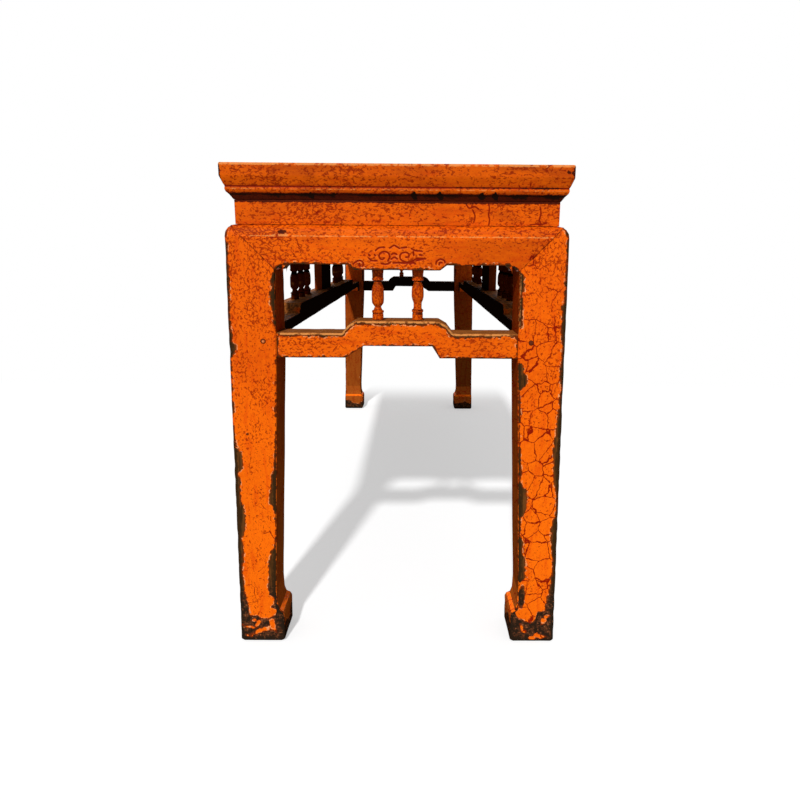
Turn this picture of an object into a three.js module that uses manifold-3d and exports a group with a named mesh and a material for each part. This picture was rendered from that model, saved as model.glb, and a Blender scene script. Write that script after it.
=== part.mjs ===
import * as THREE from 'three';
import { mergeVertices } from 'three/addons/utils/BufferGeometryUtils.js';
import Module from 'manifold-3d';

// A narrow waisted bench in orange lacquer. Millimetres, +Z up, origin at floor level under the middle.
// +Y runs along the bench, from the front end to the rear end, and +X to the right.

// Overall sizes
const benchHeight = 500;
const frameWidth = 330;
const frameLength = 1130;

// Clearances
const fit = 0.3;
const mitreFit = 0.15;
const overrun = 5;

// Legs
const legWidth = 47;
const ankleWidth = 40.5;
const hoofWidth = 48;
const legLean = 7;
const legArris = 1.2;
const ankleHeight = 62;
const hoofHeight = 35;
const taperSetback = 2.5;
const footRound = 3;

// Shoulder, waist and aprons
const waistHeight = 23.1;
const shoulderRise = 11.1;
const shoulderDepth = 9;
const apronFace = 26;
const apronThick = 22;
const apronDrop = 5;
const apronDropRun = 6.5;
const cornerRadius = 8;
const mitreDrop = 5.3;
const waistThick = 12;
const tongueSetback = 4;
const tongueThick = 4;
const tongueHeight = 3.2;

// Top frame
const topThick = 32.5;
const topOverhang = 1.5;
const railWidth = 52;
const fasciaHeight = 12;
const beadTop = 21;
const beadBottom = 28.2;
const beadSetback = 4;
const undercutDepth = 10;
const edgeRound = 1.2;

// Panel and battens
const panelThick = 11.7;
const panelTongueThick = 5;
const panelTongueLength = 7.5;
const panelTongueDepth = 6;
const battenWidth = 34;
const battenHeight = 17.5;
const battenTenonLength = 14;
const battenTenonWidth = 20;
const battenTenonHeight = 12;
const battenCount = 3;

// Tenons that lock the corners of the top and stand on the legs
const railTenonWidth = 16;
const railTenonThick = 7.5;
const railTenonSetback = 22;
const railTenonCover = 14;
const railTenonDepth = 13;
const legTenonLong = 9;
const legTenonShort = 8;
const legTenonNear = 25;
const legTenonFar = 36.5;
const legTenonHeight = 9.5;

// Stretchers
const stretcherDrop = 49.3;
const stretcherHeight = 24.5;
const stretcherThick = 36;
const stretcherInset = 0.5;
const humpRise = 12;
const endHumpHalf = 55;
const endHumpRun = 14;
const endUnderLeft = 51.5;
const endUnderLeftRun = 18;
const endUnderRight = 42;
const endUnderRightRun = 7.5;
const sideHumpHalf = 361;
const sideHumpRun = 16;
const sideUnderSetback = 14;
const sideUnderRun = 14;
const stretcherTenonLength = 20;
const stretcherTenonThick = 12;
const stretcherTenonHeight = 18;

// Pegs through the stretchers' tenons
const pegRadius = 2.3;
const pegLength = 28.5;
const pegSetback = 34;
const pegOffset = 3.75;

// Turned struts and the flat blocks of the long sides
const strutSetback = 14;
const strutRadius = 5.7;
const strutTenonRadius = 3.2;
const strutTenonLength = 8;
const endStrutSpacing = 39.6;
const sideStrutSpacing = 52;
const sideStrutGroup = 232;
const blockLength = 120;
const blockThick = 13;
const blockTongueLength = 100;
const blockTongueThick = 6;
const blockTongueHeight = 5;

// Facets
const roundSegments = 10;
const cornerSteps = 4;
const shoulderSteps = 4;

const rightAngle = Math.PI / 2;

// Heights, worked out from the top of the bench downwards
const topUnderside = benchHeight - topThick;
const railTenonTop = benchHeight - railTenonDepth;
const legTenonTop = topUnderside + legTenonHeight;
const shoulderTop = topUnderside - waistHeight;
const shoulderFoot = shoulderTop - shoulderRise;
const apronBottom = shoulderFoot - apronFace;
const humpTop = apronBottom - apronDrop - stretcherDrop;
const stretcherBottom = humpTop - humpRise - stretcherHeight;
const stretcherMiddle = stretcherBottom + stretcherHeight / 2;
const pegHeight = stretcherMiddle + pegOffset;
const taperTop = stretcherBottom - taperSetback;

// Widths
const apronDropHalfEnd = endHumpHalf - endHumpRun / 2;
const railCentreWidth = frameWidth + 2 * topOverhang;
const railCentreLength = frameLength + 2 * topOverhang;
const openingHalfX = railCentreWidth / 2 - railWidth;
const openingHalfY = railCentreLength / 2 - railWidth;

const wasm = await Module();
wasm.setup();

// Solids and geometry

function toSolid(geometry) {
  const plain = geometry.clone();
  plain.deleteAttribute('normal');
  plain.deleteAttribute('uv');
  const merged = mergeVertices(plain);
  return new wasm.Manifold(new wasm.Mesh({
    numProp: 3,
    vertProperties: Float32Array.from(merged.attributes.position.array),
    triVerts: Uint32Array.from(merged.index.array),
  }));
}

function toGeometry(solid) {
  const mesh = solid.getMesh();
  const geometry = new THREE.BufferGeometry();
  geometry.setAttribute('position', new THREE.BufferAttribute(mesh.vertProperties, 3));
  geometry.setIndex(new THREE.BufferAttribute(mesh.triVerts, 1));
  geometry.computeVertexNormals();
  return geometry;
}

// A block between two corners, given in any order.
function block(xs, ys, zs) {
  const size = [xs, ys, zs].map(([a, b]) => Math.abs(b - a));
  const middle = [xs, ys, zs].map(([a, b]) => (a + b) / 2);
  return toSolid(new THREE.BoxGeometry(...size).translate(...middle));
}

// An outline of [x, z] points, extruded along +Y from near to far.
function extrudeAcross(points, near, far) {
  const shape = new THREE.Shape(points.map(([x, z]) => new THREE.Vector2(x, z)));
  const geometry = new THREE.ExtrudeGeometry(shape, { depth: far - near, bevelEnabled: false });
  return toSolid(geometry.rotateX(rightAngle).translate(0, far, 0));
}

// An outline of [y, z] points, extruded along +X from near to far.
function extrudeAlong(points, near, far) {
  const shape = new THREE.Shape(points.map(([y, z]) => new THREE.Vector2(y, z)));
  const geometry = new THREE.ExtrudeGeometry(shape, { depth: far - near, bevelEnabled: false });
  const turn = new THREE.Matrix4().makeBasis(
    new THREE.Vector3(0, 1, 0), new THREE.Vector3(0, 0, 1), new THREE.Vector3(1, 0, 0));
  return toSolid(geometry.applyMatrix4(turn).translate(near, 0, 0));
}

// Rings with the same number of points, joined to one closed body.
function loft(rings, flatOutline) {
  const count = flatOutline.length;
  const position = rings.flat(2);
  const index = [];
  for (let ring = 0; ring + 1 < rings.length; ring += 1) {
    for (let corner = 0; corner < count; corner += 1) {
      const next = (corner + 1) % count;
      const low = ring * count;
      const high = low + count;
      index.push(low + corner, low + next, high + next);
      index.push(low + corner, high + next, high + corner);
    }
  }
  const last = (rings.length - 1) * count;
  const flat = flatOutline.map(([u, v]) => new THREE.Vector2(u, v));
  for (const [a, b, c] of THREE.ShapeUtils.triangulateShape(flat, [])) {
    index.push(c, b, a);
    index.push(last + a, last + b, last + c);
  }
  const geometry = new THREE.BufferGeometry();
  geometry.setAttribute('position', new THREE.Float32BufferAttribute(position, 3));
  geometry.setIndex(index);
  return toSolid(geometry);
}

// A bar along X with 45-degree ends in plan, from an outline of [depth, z] points; depth 0 is the outer face.
function mitredBar(outline, length) {
  const end = (side) => outline.map(([depth, z]) => [side * (length / 2 - depth - mitreFit), depth, z]);
  return loft([end(-1), end(1)], outline);
}

// A round hole along +Y from the plane y = 0.
function pegHole(length, x, z) {
  const radius = pegRadius + fit;
  const geometry = new THREE.CylinderGeometry(radius, radius, length, roundSegments);
  return toSolid(geometry.translate(x, length / 2, z));
}

// Heights and widths of a leg

// How far the leg's outer side face stands outside the apron at a height.
function leanAt(z) {
  return legLean * Math.max(0, shoulderFoot - z) / shoulderFoot;
}

// The shoulder's quarter round, as [inset, height] points from its foot to the waist.
function shoulderPoints() {
  const points = [];
  for (let step = 0; step <= shoulderSteps; step += 1) {
    const angle = rightAngle * step / shoulderSteps;
    points.push([shoulderDepth * (1 - Math.cos(angle)), shoulderFoot + shoulderRise * Math.sin(angle)]);
  }
  return points;
}

// Levels of a leg as [height, width, inset of the outer faces].
function legLevels() {
  const ledge = hoofWidth - ankleWidth;
  const levels = [
    [0, hoofWidth - footRound, footRound * 3 / 4],
    [footRound, hoofWidth, 0],
    [hoofHeight - ledge / 2, hoofWidth, 0],
    [hoofHeight, hoofWidth - ledge / 5, 0],
    [hoofHeight + ledge / 2, ankleWidth + ledge / 3, 0],
    [hoofHeight + ledge * 3 / 2, ankleWidth + ledge / 12, 0],
    [ankleHeight, ankleWidth, 0],
    [taperTop, legWidth, 0],
  ];
  for (const [inset, height] of shoulderPoints()) levels.push([height, legWidth, inset]);
  return levels;
}

function legRing(sideX, sideY, height, width, inset) {
  const outerX = sideX * (leanAt(height) - inset);
  const innerX = sideX * (leanAt(height) - width);
  const outerY = -sideY * inset;
  const innerY = -sideY * width;
  const [x0, x1] = [Math.min(outerX, innerX), Math.max(outerX, innerX)];
  const [y0, y1] = [Math.min(outerY, innerY), Math.max(outerY, innerY)];
  const c = legArris;
  return [[x0 + c, y0], [x1 - c, y0], [x1, y0 + c], [x1, y1 - c],
    [x1 - c, y1], [x0 + c, y1], [x0, y1 - c], [x0, y0 + c]].map(([x, y]) => [x, y, height]);
}

// The space above an apron's mitre line, as [distance from the outer face, height] points.
function mitreCut() {
  const line = (inward) => apronBottom - mitreDrop + legWidth - inward - fit * Math.SQRT2;
  const ceiling = line(-overrun) + overrun;
  return [[-overrun, line(-overrun)], [legWidth + overrun, line(legWidth + overrun)],
    [legWidth + overrun, ceiling], [-overrun, ceiling]];
}

// One leg; its local origin lies under the outer corner of the aprons.
function legSolid(sideX, sideY) {
  const rings = legLevels().map((level) => legRing(sideX, sideY, ...level));
  let leg = loft(rings, rings[0]);
  const depth = apronThick + fit;
  const endCut = mitreCut().map(([inward, z]) => [-sideX * inward, z]);
  leg = leg.subtract(extrudeAcross(endCut, Math.min(sideY * overrun, -sideY * depth),
    Math.max(sideY * overrun, -sideY * depth)));
  const sideCut = mitreCut().map(([inward, z]) => [-sideY * inward, z]);
  leg = leg.subtract(extrudeAlong(sideCut, Math.min(sideX * overrun, -sideX * depth),
    Math.max(sideX * overrun, -sideX * depth)));
  const span = (side, near, far) => [-side * near, -side * far];
  const rise = [shoulderTop - overrun, legTenonTop];
  leg = leg.add(block(span(sideX, legTenonFar, legTenonFar + legTenonLong),
    span(sideY, legTenonNear, legTenonNear + legTenonShort), rise));
  leg = leg.add(block(span(sideX, legTenonNear, legTenonNear + legTenonShort),
    span(sideY, legTenonFar, legTenonFar + legTenonLong), rise));
  return cutStretcherMortises(leg, sideX, sideY);
}

function cutStretcherMortises(leg, sideX, sideY) {
  const span = (side, near, far) => [-side * near, -side * far];
  const halfHeight = stretcherTenonHeight / 2 + fit;
  const zs = [stretcherMiddle - halfHeight, stretcherMiddle + halfHeight];
  const near = (stretcherThick - stretcherTenonThick) / 2 + stretcherInset - fit;
  const far = near + stretcherTenonThick + 2 * fit;
  const bottom = legWidth - stretcherTenonLength - 2 * fit;
  const opening = legWidth + overrun;
  const lean = leanAt(stretcherMiddle);
  let cut = leg.subtract(block(span(sideX, bottom - lean, opening), span(sideY, near, far), zs));
  cut = cut.subtract(block(span(sideX, near - lean, far - lean), span(sideY, bottom, opening), zs));
  const pegX = sideX * (leanAt(pegHeight) - pegSetback);
  const holeRadius = pegRadius + fit;
  const hole = new THREE.CylinderGeometry(holeRadius, holeRadius, pegLength + overrun, roundSegments);
  const holeMiddle = (pegLength - overrun) / 2 + fit;
  const endHole = hole.clone().translate(pegX, -sideY * holeMiddle, pegHeight);
  const sideHole = hole.clone().rotateZ(rightAngle)
    .translate(sideX * (leanAt(pegHeight) - holeMiddle), -sideY * pegSetback, pegHeight);
  return cut.subtract(toSolid(endHole)).subtract(toSolid(sideHole));
}

// Top frame

function railOutline() {
  const groove = topUnderside + tongueHeight + fit;
  const tongueNear = topOverhang + shoulderDepth + tongueSetback - fit;
  const tongueFar = tongueNear + tongueThick + 2 * fit;
  const slotTop = benchHeight - panelTongueDepth + fit;
  const slotBottom = slotTop - panelTongueThick - 2 * fit;
  const slotDepth = railWidth - panelTongueLength - fit;
  return [
    [edgeRound * 2 / 3, benchHeight], [0, benchHeight - edgeRound], [0, benchHeight - fasciaHeight],
    [beadSetback * 2 / 3, benchHeight - beadTop + edgeRound * 2], [beadSetback, benchHeight - beadTop],
    [beadSetback * 8 / 9, benchHeight - (2 * beadTop + beadBottom) / 3],
    [beadSetback * 10 / 9, benchHeight - (beadTop + 2 * beadBottom) / 3],
    [beadSetback * 7 / 4, benchHeight - beadBottom], [undercutDepth, topUnderside],
    [tongueNear, topUnderside], [tongueNear, groove], [tongueFar, groove], [tongueFar, topUnderside],
    [railWidth, topUnderside], [railWidth, slotBottom], [slotDepth, slotBottom],
    [slotDepth, slotTop], [railWidth, slotTop], [railWidth, benchHeight],
  ];
}

// Mortises for the legs' tenons; the nearer of the two distances belongs to the rail's own face.
function cutLegMortises(rail, length) {
  let cut = rail;
  const nearDepth = legTenonNear + topOverhang;
  const farDepth = legTenonFar + topOverhang;
  for (const side of [-1, 1]) {
    const xs = [side * (length / 2 - farDepth + fit), side * (length / 2 - farDepth - legTenonLong - fit)];
    const ys = [nearDepth - fit, nearDepth + legTenonShort + fit];
    cut = cut.subtract(block(xs, ys, [topUnderside - overrun, legTenonTop + fit]));
  }
  return cut;
}

function endRailSolid() {
  let rail = cutLegMortises(mitredBar(railOutline(), railCentreWidth), railCentreWidth);
  const zs = [railTenonTop - railTenonThick - fit, railTenonTop + fit];
  for (const side of [-1, 1]) {
    const outer = side * (railCentreWidth / 2 - railTenonSetback + fit);
    const inner = side * (railCentreWidth / 2 - railTenonSetback - railTenonWidth - fit);
    rail = rail.subtract(block([outer, inner], [railTenonCover - fit, railWidth], zs));
  }
  return rail;
}

function longRailSolid() {
  let rail = cutLegMortises(mitredBar(railOutline(), railCentreLength), railCentreLength);
  for (const side of [-1, 1]) {
    const tip = side * (railCentreLength / 2 - railTenonCover);
    const root = side * (railCentreLength / 2 - railTenonSetback - railTenonWidth - overrun);
    const ys = [railTenonSetback, railTenonSetback + railTenonWidth];
    rail = rail.add(block([tip, root], ys, [railTenonTop - railTenonThick, railTenonTop]));
  }
  const middle = battenMiddle();
  for (const place of battenPlaces()) {
    const xs = [place - battenTenonWidth / 2 - fit, place + battenTenonWidth / 2 + fit];
    const ys = [railWidth - battenTenonLength - fit, railWidth + overrun];
    const zs = [middle - battenTenonHeight / 2 - fit, middle + battenTenonHeight / 2 + fit];
    rail = rail.subtract(block(xs, ys, zs));
  }
  return rail;
}

// Panel and battens

function battenPlaces() {
  const places = [];
  for (let index = 1; index <= battenCount; index += 1) {
    places.push(openingHalfY * (2 * index / (battenCount + 1) - 1));
  }
  return places;
}

function battenMiddle() {
  return benchHeight - panelThick - fit - battenHeight / 2;
}

function panelSolid() {
  const halfX = openingHalfX - fit;
  const halfY = openingHalfY - fit;
  const tongueTop = benchHeight - panelTongueDepth;
  const slab = block([-halfX, halfX], [-halfY, halfY], [benchHeight - panelThick, benchHeight]);
  const tongueX = openingHalfX + panelTongueLength - fit;
  const tongueY = openingHalfY + panelTongueLength - fit;
  const tongueZs = [tongueTop - panelTongueThick, tongueTop];
  return slab.add(block([-tongueX, tongueX], [-tongueY, tongueY], tongueZs));
}

function battenSolid() {
  const span = (size) => [-size / 2, size / 2];
  const body = block(span(2 * (openingHalfX - fit)), span(battenWidth), span(battenHeight));
  const tip = openingHalfX + battenTenonLength - fit;
  return body.add(block(span(2 * tip), span(battenTenonWidth), span(battenTenonHeight)));
}

// Waist

function waistSolid(length) {
  const bottom = shoulderTop + fit;
  const top = topUnderside - fit;
  const near = tongueSetback;
  const far = tongueSetback + tongueThick;
  const outline = [[0, top], [0, bottom], [near, bottom], [near, bottom - tongueHeight],
    [far, bottom - tongueHeight], [far, bottom], [waistThick, bottom], [waistThick, top],
    [far, top], [far, top + tongueHeight], [near, top + tongueHeight], [near, top]];
  return mitredBar(outline, length - 2 * shoulderDepth);
}

// Aprons

function apronSection() {
  const near = shoulderDepth + tongueSetback - fit;
  const far = near + tongueThick + 2 * fit;
  const grooveBottom = shoulderTop - tongueHeight;
  const low = apronBottom - apronDrop - overrun;
  return [...shoulderPoints().reverse(), [0, low], [apronThick, low], [apronThick, shoulderTop],
    [far, shoulderTop], [far, grooveBottom], [near, grooveBottom], [near, shoulderTop]];
}

// The right half of an apron's face, from the middle of its lower edge to the top of its mitre.
function apronHalf(length, dropHalf) {
  const open = length / 2 - legWidth;
  const points = [[dropHalf - apronDropRun, apronBottom - apronDrop], [dropHalf, apronBottom]];
  const reach = (mitreDrop + Math.sqrt(2 * cornerRadius ** 2 - mitreDrop ** 2)) / 2;
  const arcEnd = Math.acos(reach / cornerRadius);
  for (let step = 0; step <= cornerSteps; step += 1) {
    const angle = rightAngle + (arcEnd - rightAngle) * step / cornerSteps;
    points.push([open - cornerRadius + cornerRadius * Math.cos(angle),
      apronBottom - cornerRadius + cornerRadius * Math.sin(angle)]);
  }
  const rise = shoulderTop - apronBottom + mitreDrop;
  points.push([open + rise + overrun, shoulderTop + overrun]);
  return points;
}

function apronSolid(length, dropHalf, socketPlaces, hasBlock) {
  const half = apronHalf(length, dropHalf);
  const mirrored = half.map(([x, z]) => [-x, z]).reverse();
  let apron = extrudeAcross([...mirrored, ...half], 0, apronThick);
  apron = apron.intersect(mitredBar(apronSection(), length));
  const seat = apronBottom - apronDrop;
  for (const x of socketPlaces) {
    apron = apron.subtract(socketHole(x, strutSetback, seat + strutTenonLength + fit, seat - overrun));
  }
  if (hasBlock) {
    apron = apron.subtract(blockSlot(strutSetback, seat - overrun, seat + blockTongueHeight + fit));
  }
  return apron;
}

// Round socket for a strut's tenon, and the slot for a block's tongue

function socketHole(x, y, top, bottom) {
  const radius = strutTenonRadius + fit;
  const geometry = new THREE.CylinderGeometry(radius, radius, top - bottom, roundSegments);
  return toSolid(geometry.rotateX(rightAngle).translate(x, y, (top + bottom) / 2));
}

function blockSlot(y, bottom, top) {
  const half = blockTongueLength / 2 + fit;
  const thick = blockTongueThick / 2 + fit;
  return block([-half, half], [y - thick, y + thick], [bottom, top]);
}

// Stretchers

// The outline of a hump-back stretcher. Each foot and run is given for the left and the right side.
function stretcherOutline(leftEnd, rightEnd, hump) {
  const bottom = stretcherBottom;
  const top = stretcherBottom + stretcherHeight;
  const bend = hump.half - hump.run * 2 / 5;
  const bendTop = top + humpRise * 3 / 5;
  const crest = hump.half - hump.run;
  return [
    [leftEnd(bottom), bottom],
    [-hump.underLeft, bottom], [-hump.underLeft + hump.underLeftRun, bottom + humpRise],
    [hump.underRight - hump.underRightRun, bottom + humpRise], [hump.underRight, bottom],
    [rightEnd(bottom), bottom], [rightEnd(top), top],
    [hump.half, top], [bend, bendTop], [crest, humpTop],
    [-crest, humpTop], [-bend, bendTop], [-hump.half, top],
    [leftEnd(top), top],
  ];
}

// faceOut is how far the stretcher's outer face stands outside the apron's.
function stretcherSolid(legInner, hump, faceOut, socketPlaces, hasBlock) {
  const rightEnd = (z) => legInner(z) - fit;
  const leftEnd = (z) => -rightEnd(z);
  let stretcher = extrudeAcross(stretcherOutline(leftEnd, rightEnd, hump), 0, stretcherThick);
  const ys = [(stretcherThick - stretcherTenonThick) / 2, (stretcherThick + stretcherTenonThick) / 2];
  const zs = [stretcherMiddle - stretcherTenonHeight / 2, stretcherMiddle + stretcherTenonHeight / 2];
  for (const side of [-1, 1]) {
    const root = side * (legInner(stretcherMiddle) - overrun);
    const tip = side * (legInner(stretcherMiddle) + stretcherTenonLength);
    stretcher = stretcher.add(block([root, tip], ys, zs));
    const peg = legInner(pegHeight) + legWidth - pegSetback;
    stretcher = stretcher.subtract(pegHole(stretcherThick, side * peg, pegHeight));
  }
  const depth = strutSetback + faceOut;
  const socketBottom = humpTop - strutTenonLength - fit;
  for (const x of socketPlaces) {
    stretcher = stretcher.subtract(socketHole(x, depth, humpTop + overrun, socketBottom));
  }
  if (hasBlock) {
    stretcher = stretcher.subtract(blockSlot(depth, humpTop - blockTongueHeight - fit, humpTop + overrun));
  }
  return stretcher;
}

// Turned strut

// A strut's turned outline as [share of its height, share of its greatest body radius].
const strutShares = [
  [0, 1.14], [0.03, 1.14], [0.05, 0.98], [0.14, 0.98], [0.17, 1.05], [0.2, 0.96], [0.265, 0.72],
  [0.31, 0.95], [0.42, 1.02], [0.58, 0.99], [0.66, 0.9], [0.72, 0.72], [0.76, 0.75],
  [0.785, 1.03], [0.815, 0.86], [0.9, 0.95], [0.93, 1.18], [1, 1.22],
];

function strutGeometry() {
  const height = apronBottom - apronDrop - humpTop - 2 * fit;
  const points = [[0, -strutTenonLength], [strutTenonRadius, -strutTenonLength], [strutTenonRadius, 0]];
  for (const [heightShare, radiusShare] of strutShares) {
    points.push([radiusShare * strutRadius, heightShare * height]);
  }
  points.push([strutTenonRadius, height], [strutTenonRadius, height + strutTenonLength],
    [0, height + strutTenonLength]);
  const profile = points.map(([radius, z]) => new THREE.Vector2(radius, z));
  const geometry = new THREE.LatheGeometry(profile, roundSegments).rotateX(rightAngle);
  return toGeometry(toSolid(geometry));
}

// Flat centre block

function blockSolid() {
  const bottom = humpTop + fit;
  const top = apronBottom - apronDrop - fit;
  const body = block([-blockLength / 2, blockLength / 2], [-blockThick / 2, blockThick / 2], [bottom, top]);
  const half = blockTongueLength / 2;
  return body.add(block([-half, half], [-blockTongueThick / 2, blockTongueThick / 2],
    [bottom - blockTongueHeight, top + blockTongueHeight]));
}

// Materials and meshes

const orangeLacquer = { color: 0xd9600f, roughness: 0.42, metalness: 0 };
const wornLacquer = { color: 0x9a5a1c, roughness: 0.55, metalness: 0 };
const darkLacquer = { color: 0x5a2410, roughness: 0.6, metalness: 0 };
const darkWood = { color: 0x3c2a16, roughness: 0.75, metalness: 0 };

function addMesh(parent, name, geometry, finish) {
  const mesh = new THREE.Mesh(geometry, new THREE.MeshStandardMaterial(finish));
  mesh.name = name;
  parent.add(mesh);
  return mesh;
}

// The bench

const endStruts = [-endStrutSpacing / 2, endStrutSpacing / 2];
const sideStruts = [];
for (const group of [-sideStrutGroup, sideStrutGroup]) {
  for (const step of [-1, 0, 1]) sideStruts.push(group + step * sideStrutSpacing);
}

const endHump = {
  half: endHumpHalf, run: endHumpRun,
  underLeft: endUnderLeft, underLeftRun: endUnderLeftRun,
  underRight: endUnderRight, underRightRun: endUnderRightRun,
};
const sideUnderHalf = frameLength / 2 - legWidth - sideUnderSetback;
const sideHump = {
  half: sideHumpHalf, run: sideHumpRun,
  underLeft: sideUnderHalf, underLeftRun: sideUnderRun,
  underRight: sideUnderHalf, underRightRun: sideUnderRun,
};

const ends = {
  across: frameWidth,
  dropHalf: apronDropHalfEnd,
  struts: endStruts,
  hump: endHump,
  faceOut: -stretcherInset,
  legInner: (z) => frameWidth / 2 - legWidth + leanAt(z),
  hasBlock: false,
};
const sides = {
  across: frameLength,
  dropHalf: sideHumpHalf - sideHumpRun / 2,
  struts: sideStruts,
  hump: sideHump,
  faceOut: leanAt(stretcherMiddle) - stretcherInset,
  legInner: () => frameLength / 2 - legWidth,
  hasBlock: true,
};

// One side of the bench in its own frame: X along the side, Y inwards from the apron's face.
function addFraming(parent, name, kind, turn, outward) {
  const group = new THREE.Group();
  group.rotation.z = turn;
  group.position.set(Math.sin(turn) * outward, -Math.cos(turn) * outward, 0);
  parent.add(group);
  const isEnd = kind === ends;
  const rail = isEnd ? endRailSolid() : longRailSolid();
  const railName = isEnd ? `top_end_rail_${name}` : `top_long_rail_${name}`;
  addMesh(group, railName, toGeometry(rail), orangeLacquer).position.y = -topOverhang;
  const waist = addMesh(group, `waist_${name}`, toGeometry(waistSolid(kind.across)), orangeLacquer);
  waist.position.y = shoulderDepth;
  const apron = apronSolid(kind.across, kind.dropHalf, kind.struts, kind.hasBlock);
  addMesh(group, `apron_${name}`, toGeometry(apron), orangeLacquer);
  const stretcher = stretcherSolid(kind.legInner, kind.hump, kind.faceOut, kind.struts, kind.hasBlock);
  addMesh(group, `stretcher_${name}`, toGeometry(stretcher), orangeLacquer).position.y = -kind.faceOut;
  kind.struts.forEach((x, index) => {
    const strut = addMesh(group, `strut_${name}_${index + 1}`, strutGeometry(), orangeLacquer);
    strut.position.set(x, strutSetback, humpTop + fit);
  });
  if (kind.hasBlock) {
    const flat = addMesh(group, `centre_block_${name}`, toGeometry(blockSolid()), darkLacquer);
    flat.position.y = strutSetback;
  }
}

function addLeg(parent, name, sideX, sideY) {
  const corner = new THREE.Group();
  corner.position.set(sideX * frameWidth / 2, sideY * frameLength / 2, 0);
  parent.add(corner);
  addMesh(corner, `leg_${name}`, toGeometry(legSolid(sideX, sideY)), orangeLacquer);
  const pegGeometry = () => new THREE.CylinderGeometry(pegRadius, pegRadius, pegLength, roundSegments);
  const lean = leanAt(pegHeight);
  const endPeg = addMesh(corner, `peg_${name}_end`, toGeometry(toSolid(pegGeometry())), darkWood);
  endPeg.position.set(sideX * (lean - pegSetback), -sideY * pegLength / 2, pegHeight);
  const sidePeg = addMesh(corner, `peg_${name}_side`, toGeometry(toSolid(pegGeometry())), darkWood);
  sidePeg.rotation.z = rightAngle;
  sidePeg.position.set(sideX * (lean - pegLength / 2), -sideY * pegSetback, pegHeight);
}

const bench = new THREE.Group();

addMesh(bench, 'top_panel', toGeometry(panelSolid()), wornLacquer);
battenPlaces().forEach((place, index) => {
  const batten = addMesh(bench, `panel_batten_${index + 1}`, toGeometry(battenSolid()), darkLacquer);
  batten.position.set(0, place, battenMiddle());
});

addFraming(bench, 'front', ends, 0, frameLength / 2);
addFraming(bench, 'rear', ends, Math.PI, frameLength / 2);
addFraming(bench, 'right', sides, rightAngle, frameWidth / 2);
addFraming(bench, 'left', sides, -rightAngle, frameWidth / 2);

for (const [endName, sideY] of [['front', -1], ['rear', 1]]) {
  for (const [sideName, sideX] of [['left', -1], ['right', 1]]) {
    addLeg(bench, `${endName}_${sideName}`, sideX, sideY);
  }
}

export default bench;
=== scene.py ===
import math

import bmesh
import bpy
import numpy as np
from mathutils import Matrix, Vector, noise
from mathutils.bvhtree import BVHTree


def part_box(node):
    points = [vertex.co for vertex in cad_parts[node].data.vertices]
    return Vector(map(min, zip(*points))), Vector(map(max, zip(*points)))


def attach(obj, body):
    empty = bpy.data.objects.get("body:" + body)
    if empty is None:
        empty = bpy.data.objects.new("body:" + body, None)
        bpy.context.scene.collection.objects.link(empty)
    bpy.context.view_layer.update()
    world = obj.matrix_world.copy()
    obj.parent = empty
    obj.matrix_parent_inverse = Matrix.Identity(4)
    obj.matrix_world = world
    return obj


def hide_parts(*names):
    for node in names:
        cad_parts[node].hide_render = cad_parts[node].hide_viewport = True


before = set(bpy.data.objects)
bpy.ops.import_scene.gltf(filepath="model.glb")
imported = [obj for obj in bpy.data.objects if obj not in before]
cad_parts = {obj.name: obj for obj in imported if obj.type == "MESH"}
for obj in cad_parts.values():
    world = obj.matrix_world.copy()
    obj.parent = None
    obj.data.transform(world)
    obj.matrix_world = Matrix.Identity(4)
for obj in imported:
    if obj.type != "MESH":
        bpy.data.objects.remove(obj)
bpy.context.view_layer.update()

mm = 0.001
print("bench frame loaded:", len(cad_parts), "nodes")


# Camera, a little under seat height and looking down at the front end

shot = {
    "place": (0.0177, -1.2045, 0.4215),
    "down": 12.987,     # degrees below the horizon
    "toLeft": -0.457,
    "roll": 0.437,
    "lens": 29.25,
    "sensor": 36.0,
    "shiftX": -0.025,   # the photo is cropped off its centre
}


def showInScene(name, data):
    added = bpy.data.objects.new(name, data)
    bpy.context.scene.collection.objects.link(added)
    return added


def makeCamera():
    data = bpy.data.cameras.new("photoCamera")
    data.lens = shot["lens"]
    data.sensor_width = shot["sensor"]
    data.shift_x = shot["shiftX"]
    data.clip_start = 0.05
    data.clip_end = 100
    camera = showInScene("photoCamera", data)
    turn = Matrix.Rotation(math.radians(shot["toLeft"]), 4, "Z")
    tilt = Matrix.Rotation(math.radians(90 - shot["down"]), 4, "X")
    roll = Matrix.Rotation(math.radians(shot["roll"]), 4, "Z")
    camera.matrix_world = Matrix.Translation(shot["place"]) @ turn @ tilt @ roll
    bpy.context.scene.camera = camera


# Node helpers; arithmetic on a value adds maths nodes to its tree

class Value:
    def __init__(self, tree, socket):
        self.tree = tree
        self.socket = socket

    def maths(self, operation, *terms):
        node = addNode(self.tree, "Math", operation=operation)
        for term, socket in zip(terms, node.inputs):
            wire(term, socket)
        return Value(self.tree, node.outputs[0])

    def __add__(self, other):
        return self.maths("ADD", self, other)

    def __sub__(self, other):
        return self.maths("SUBTRACT", self, other)

    def __rsub__(self, other):
        return self.maths("SUBTRACT", other, self)

    def __mul__(self, other):
        return self.maths("MULTIPLY", self, other)

    def larger(self, other):
        return self.maths("MAXIMUM", self, other)

    # smooth step from 0 at low to 1 at high
    def fade(self, low, high):
        node = addNode(self.tree, "MapRange", interpolation_type="SMOOTHSTEP")
        wire(self, node.inputs["Value"])
        wire(low, node.inputs["From Min"])
        wire(high, node.inputs["From Max"])
        return Value(self.tree, node.outputs["Result"])


def addNode(tree, kind, **settings):
    node = tree.nodes.new("ShaderNode" + kind)
    for key, setting in settings.items():
        setattr(node, key, setting)
    return node


def wire(value, socket):
    if isinstance(value, Value):
        value.tree.links.new(value.socket, socket)
    else:
        socket.default_value = value


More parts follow.
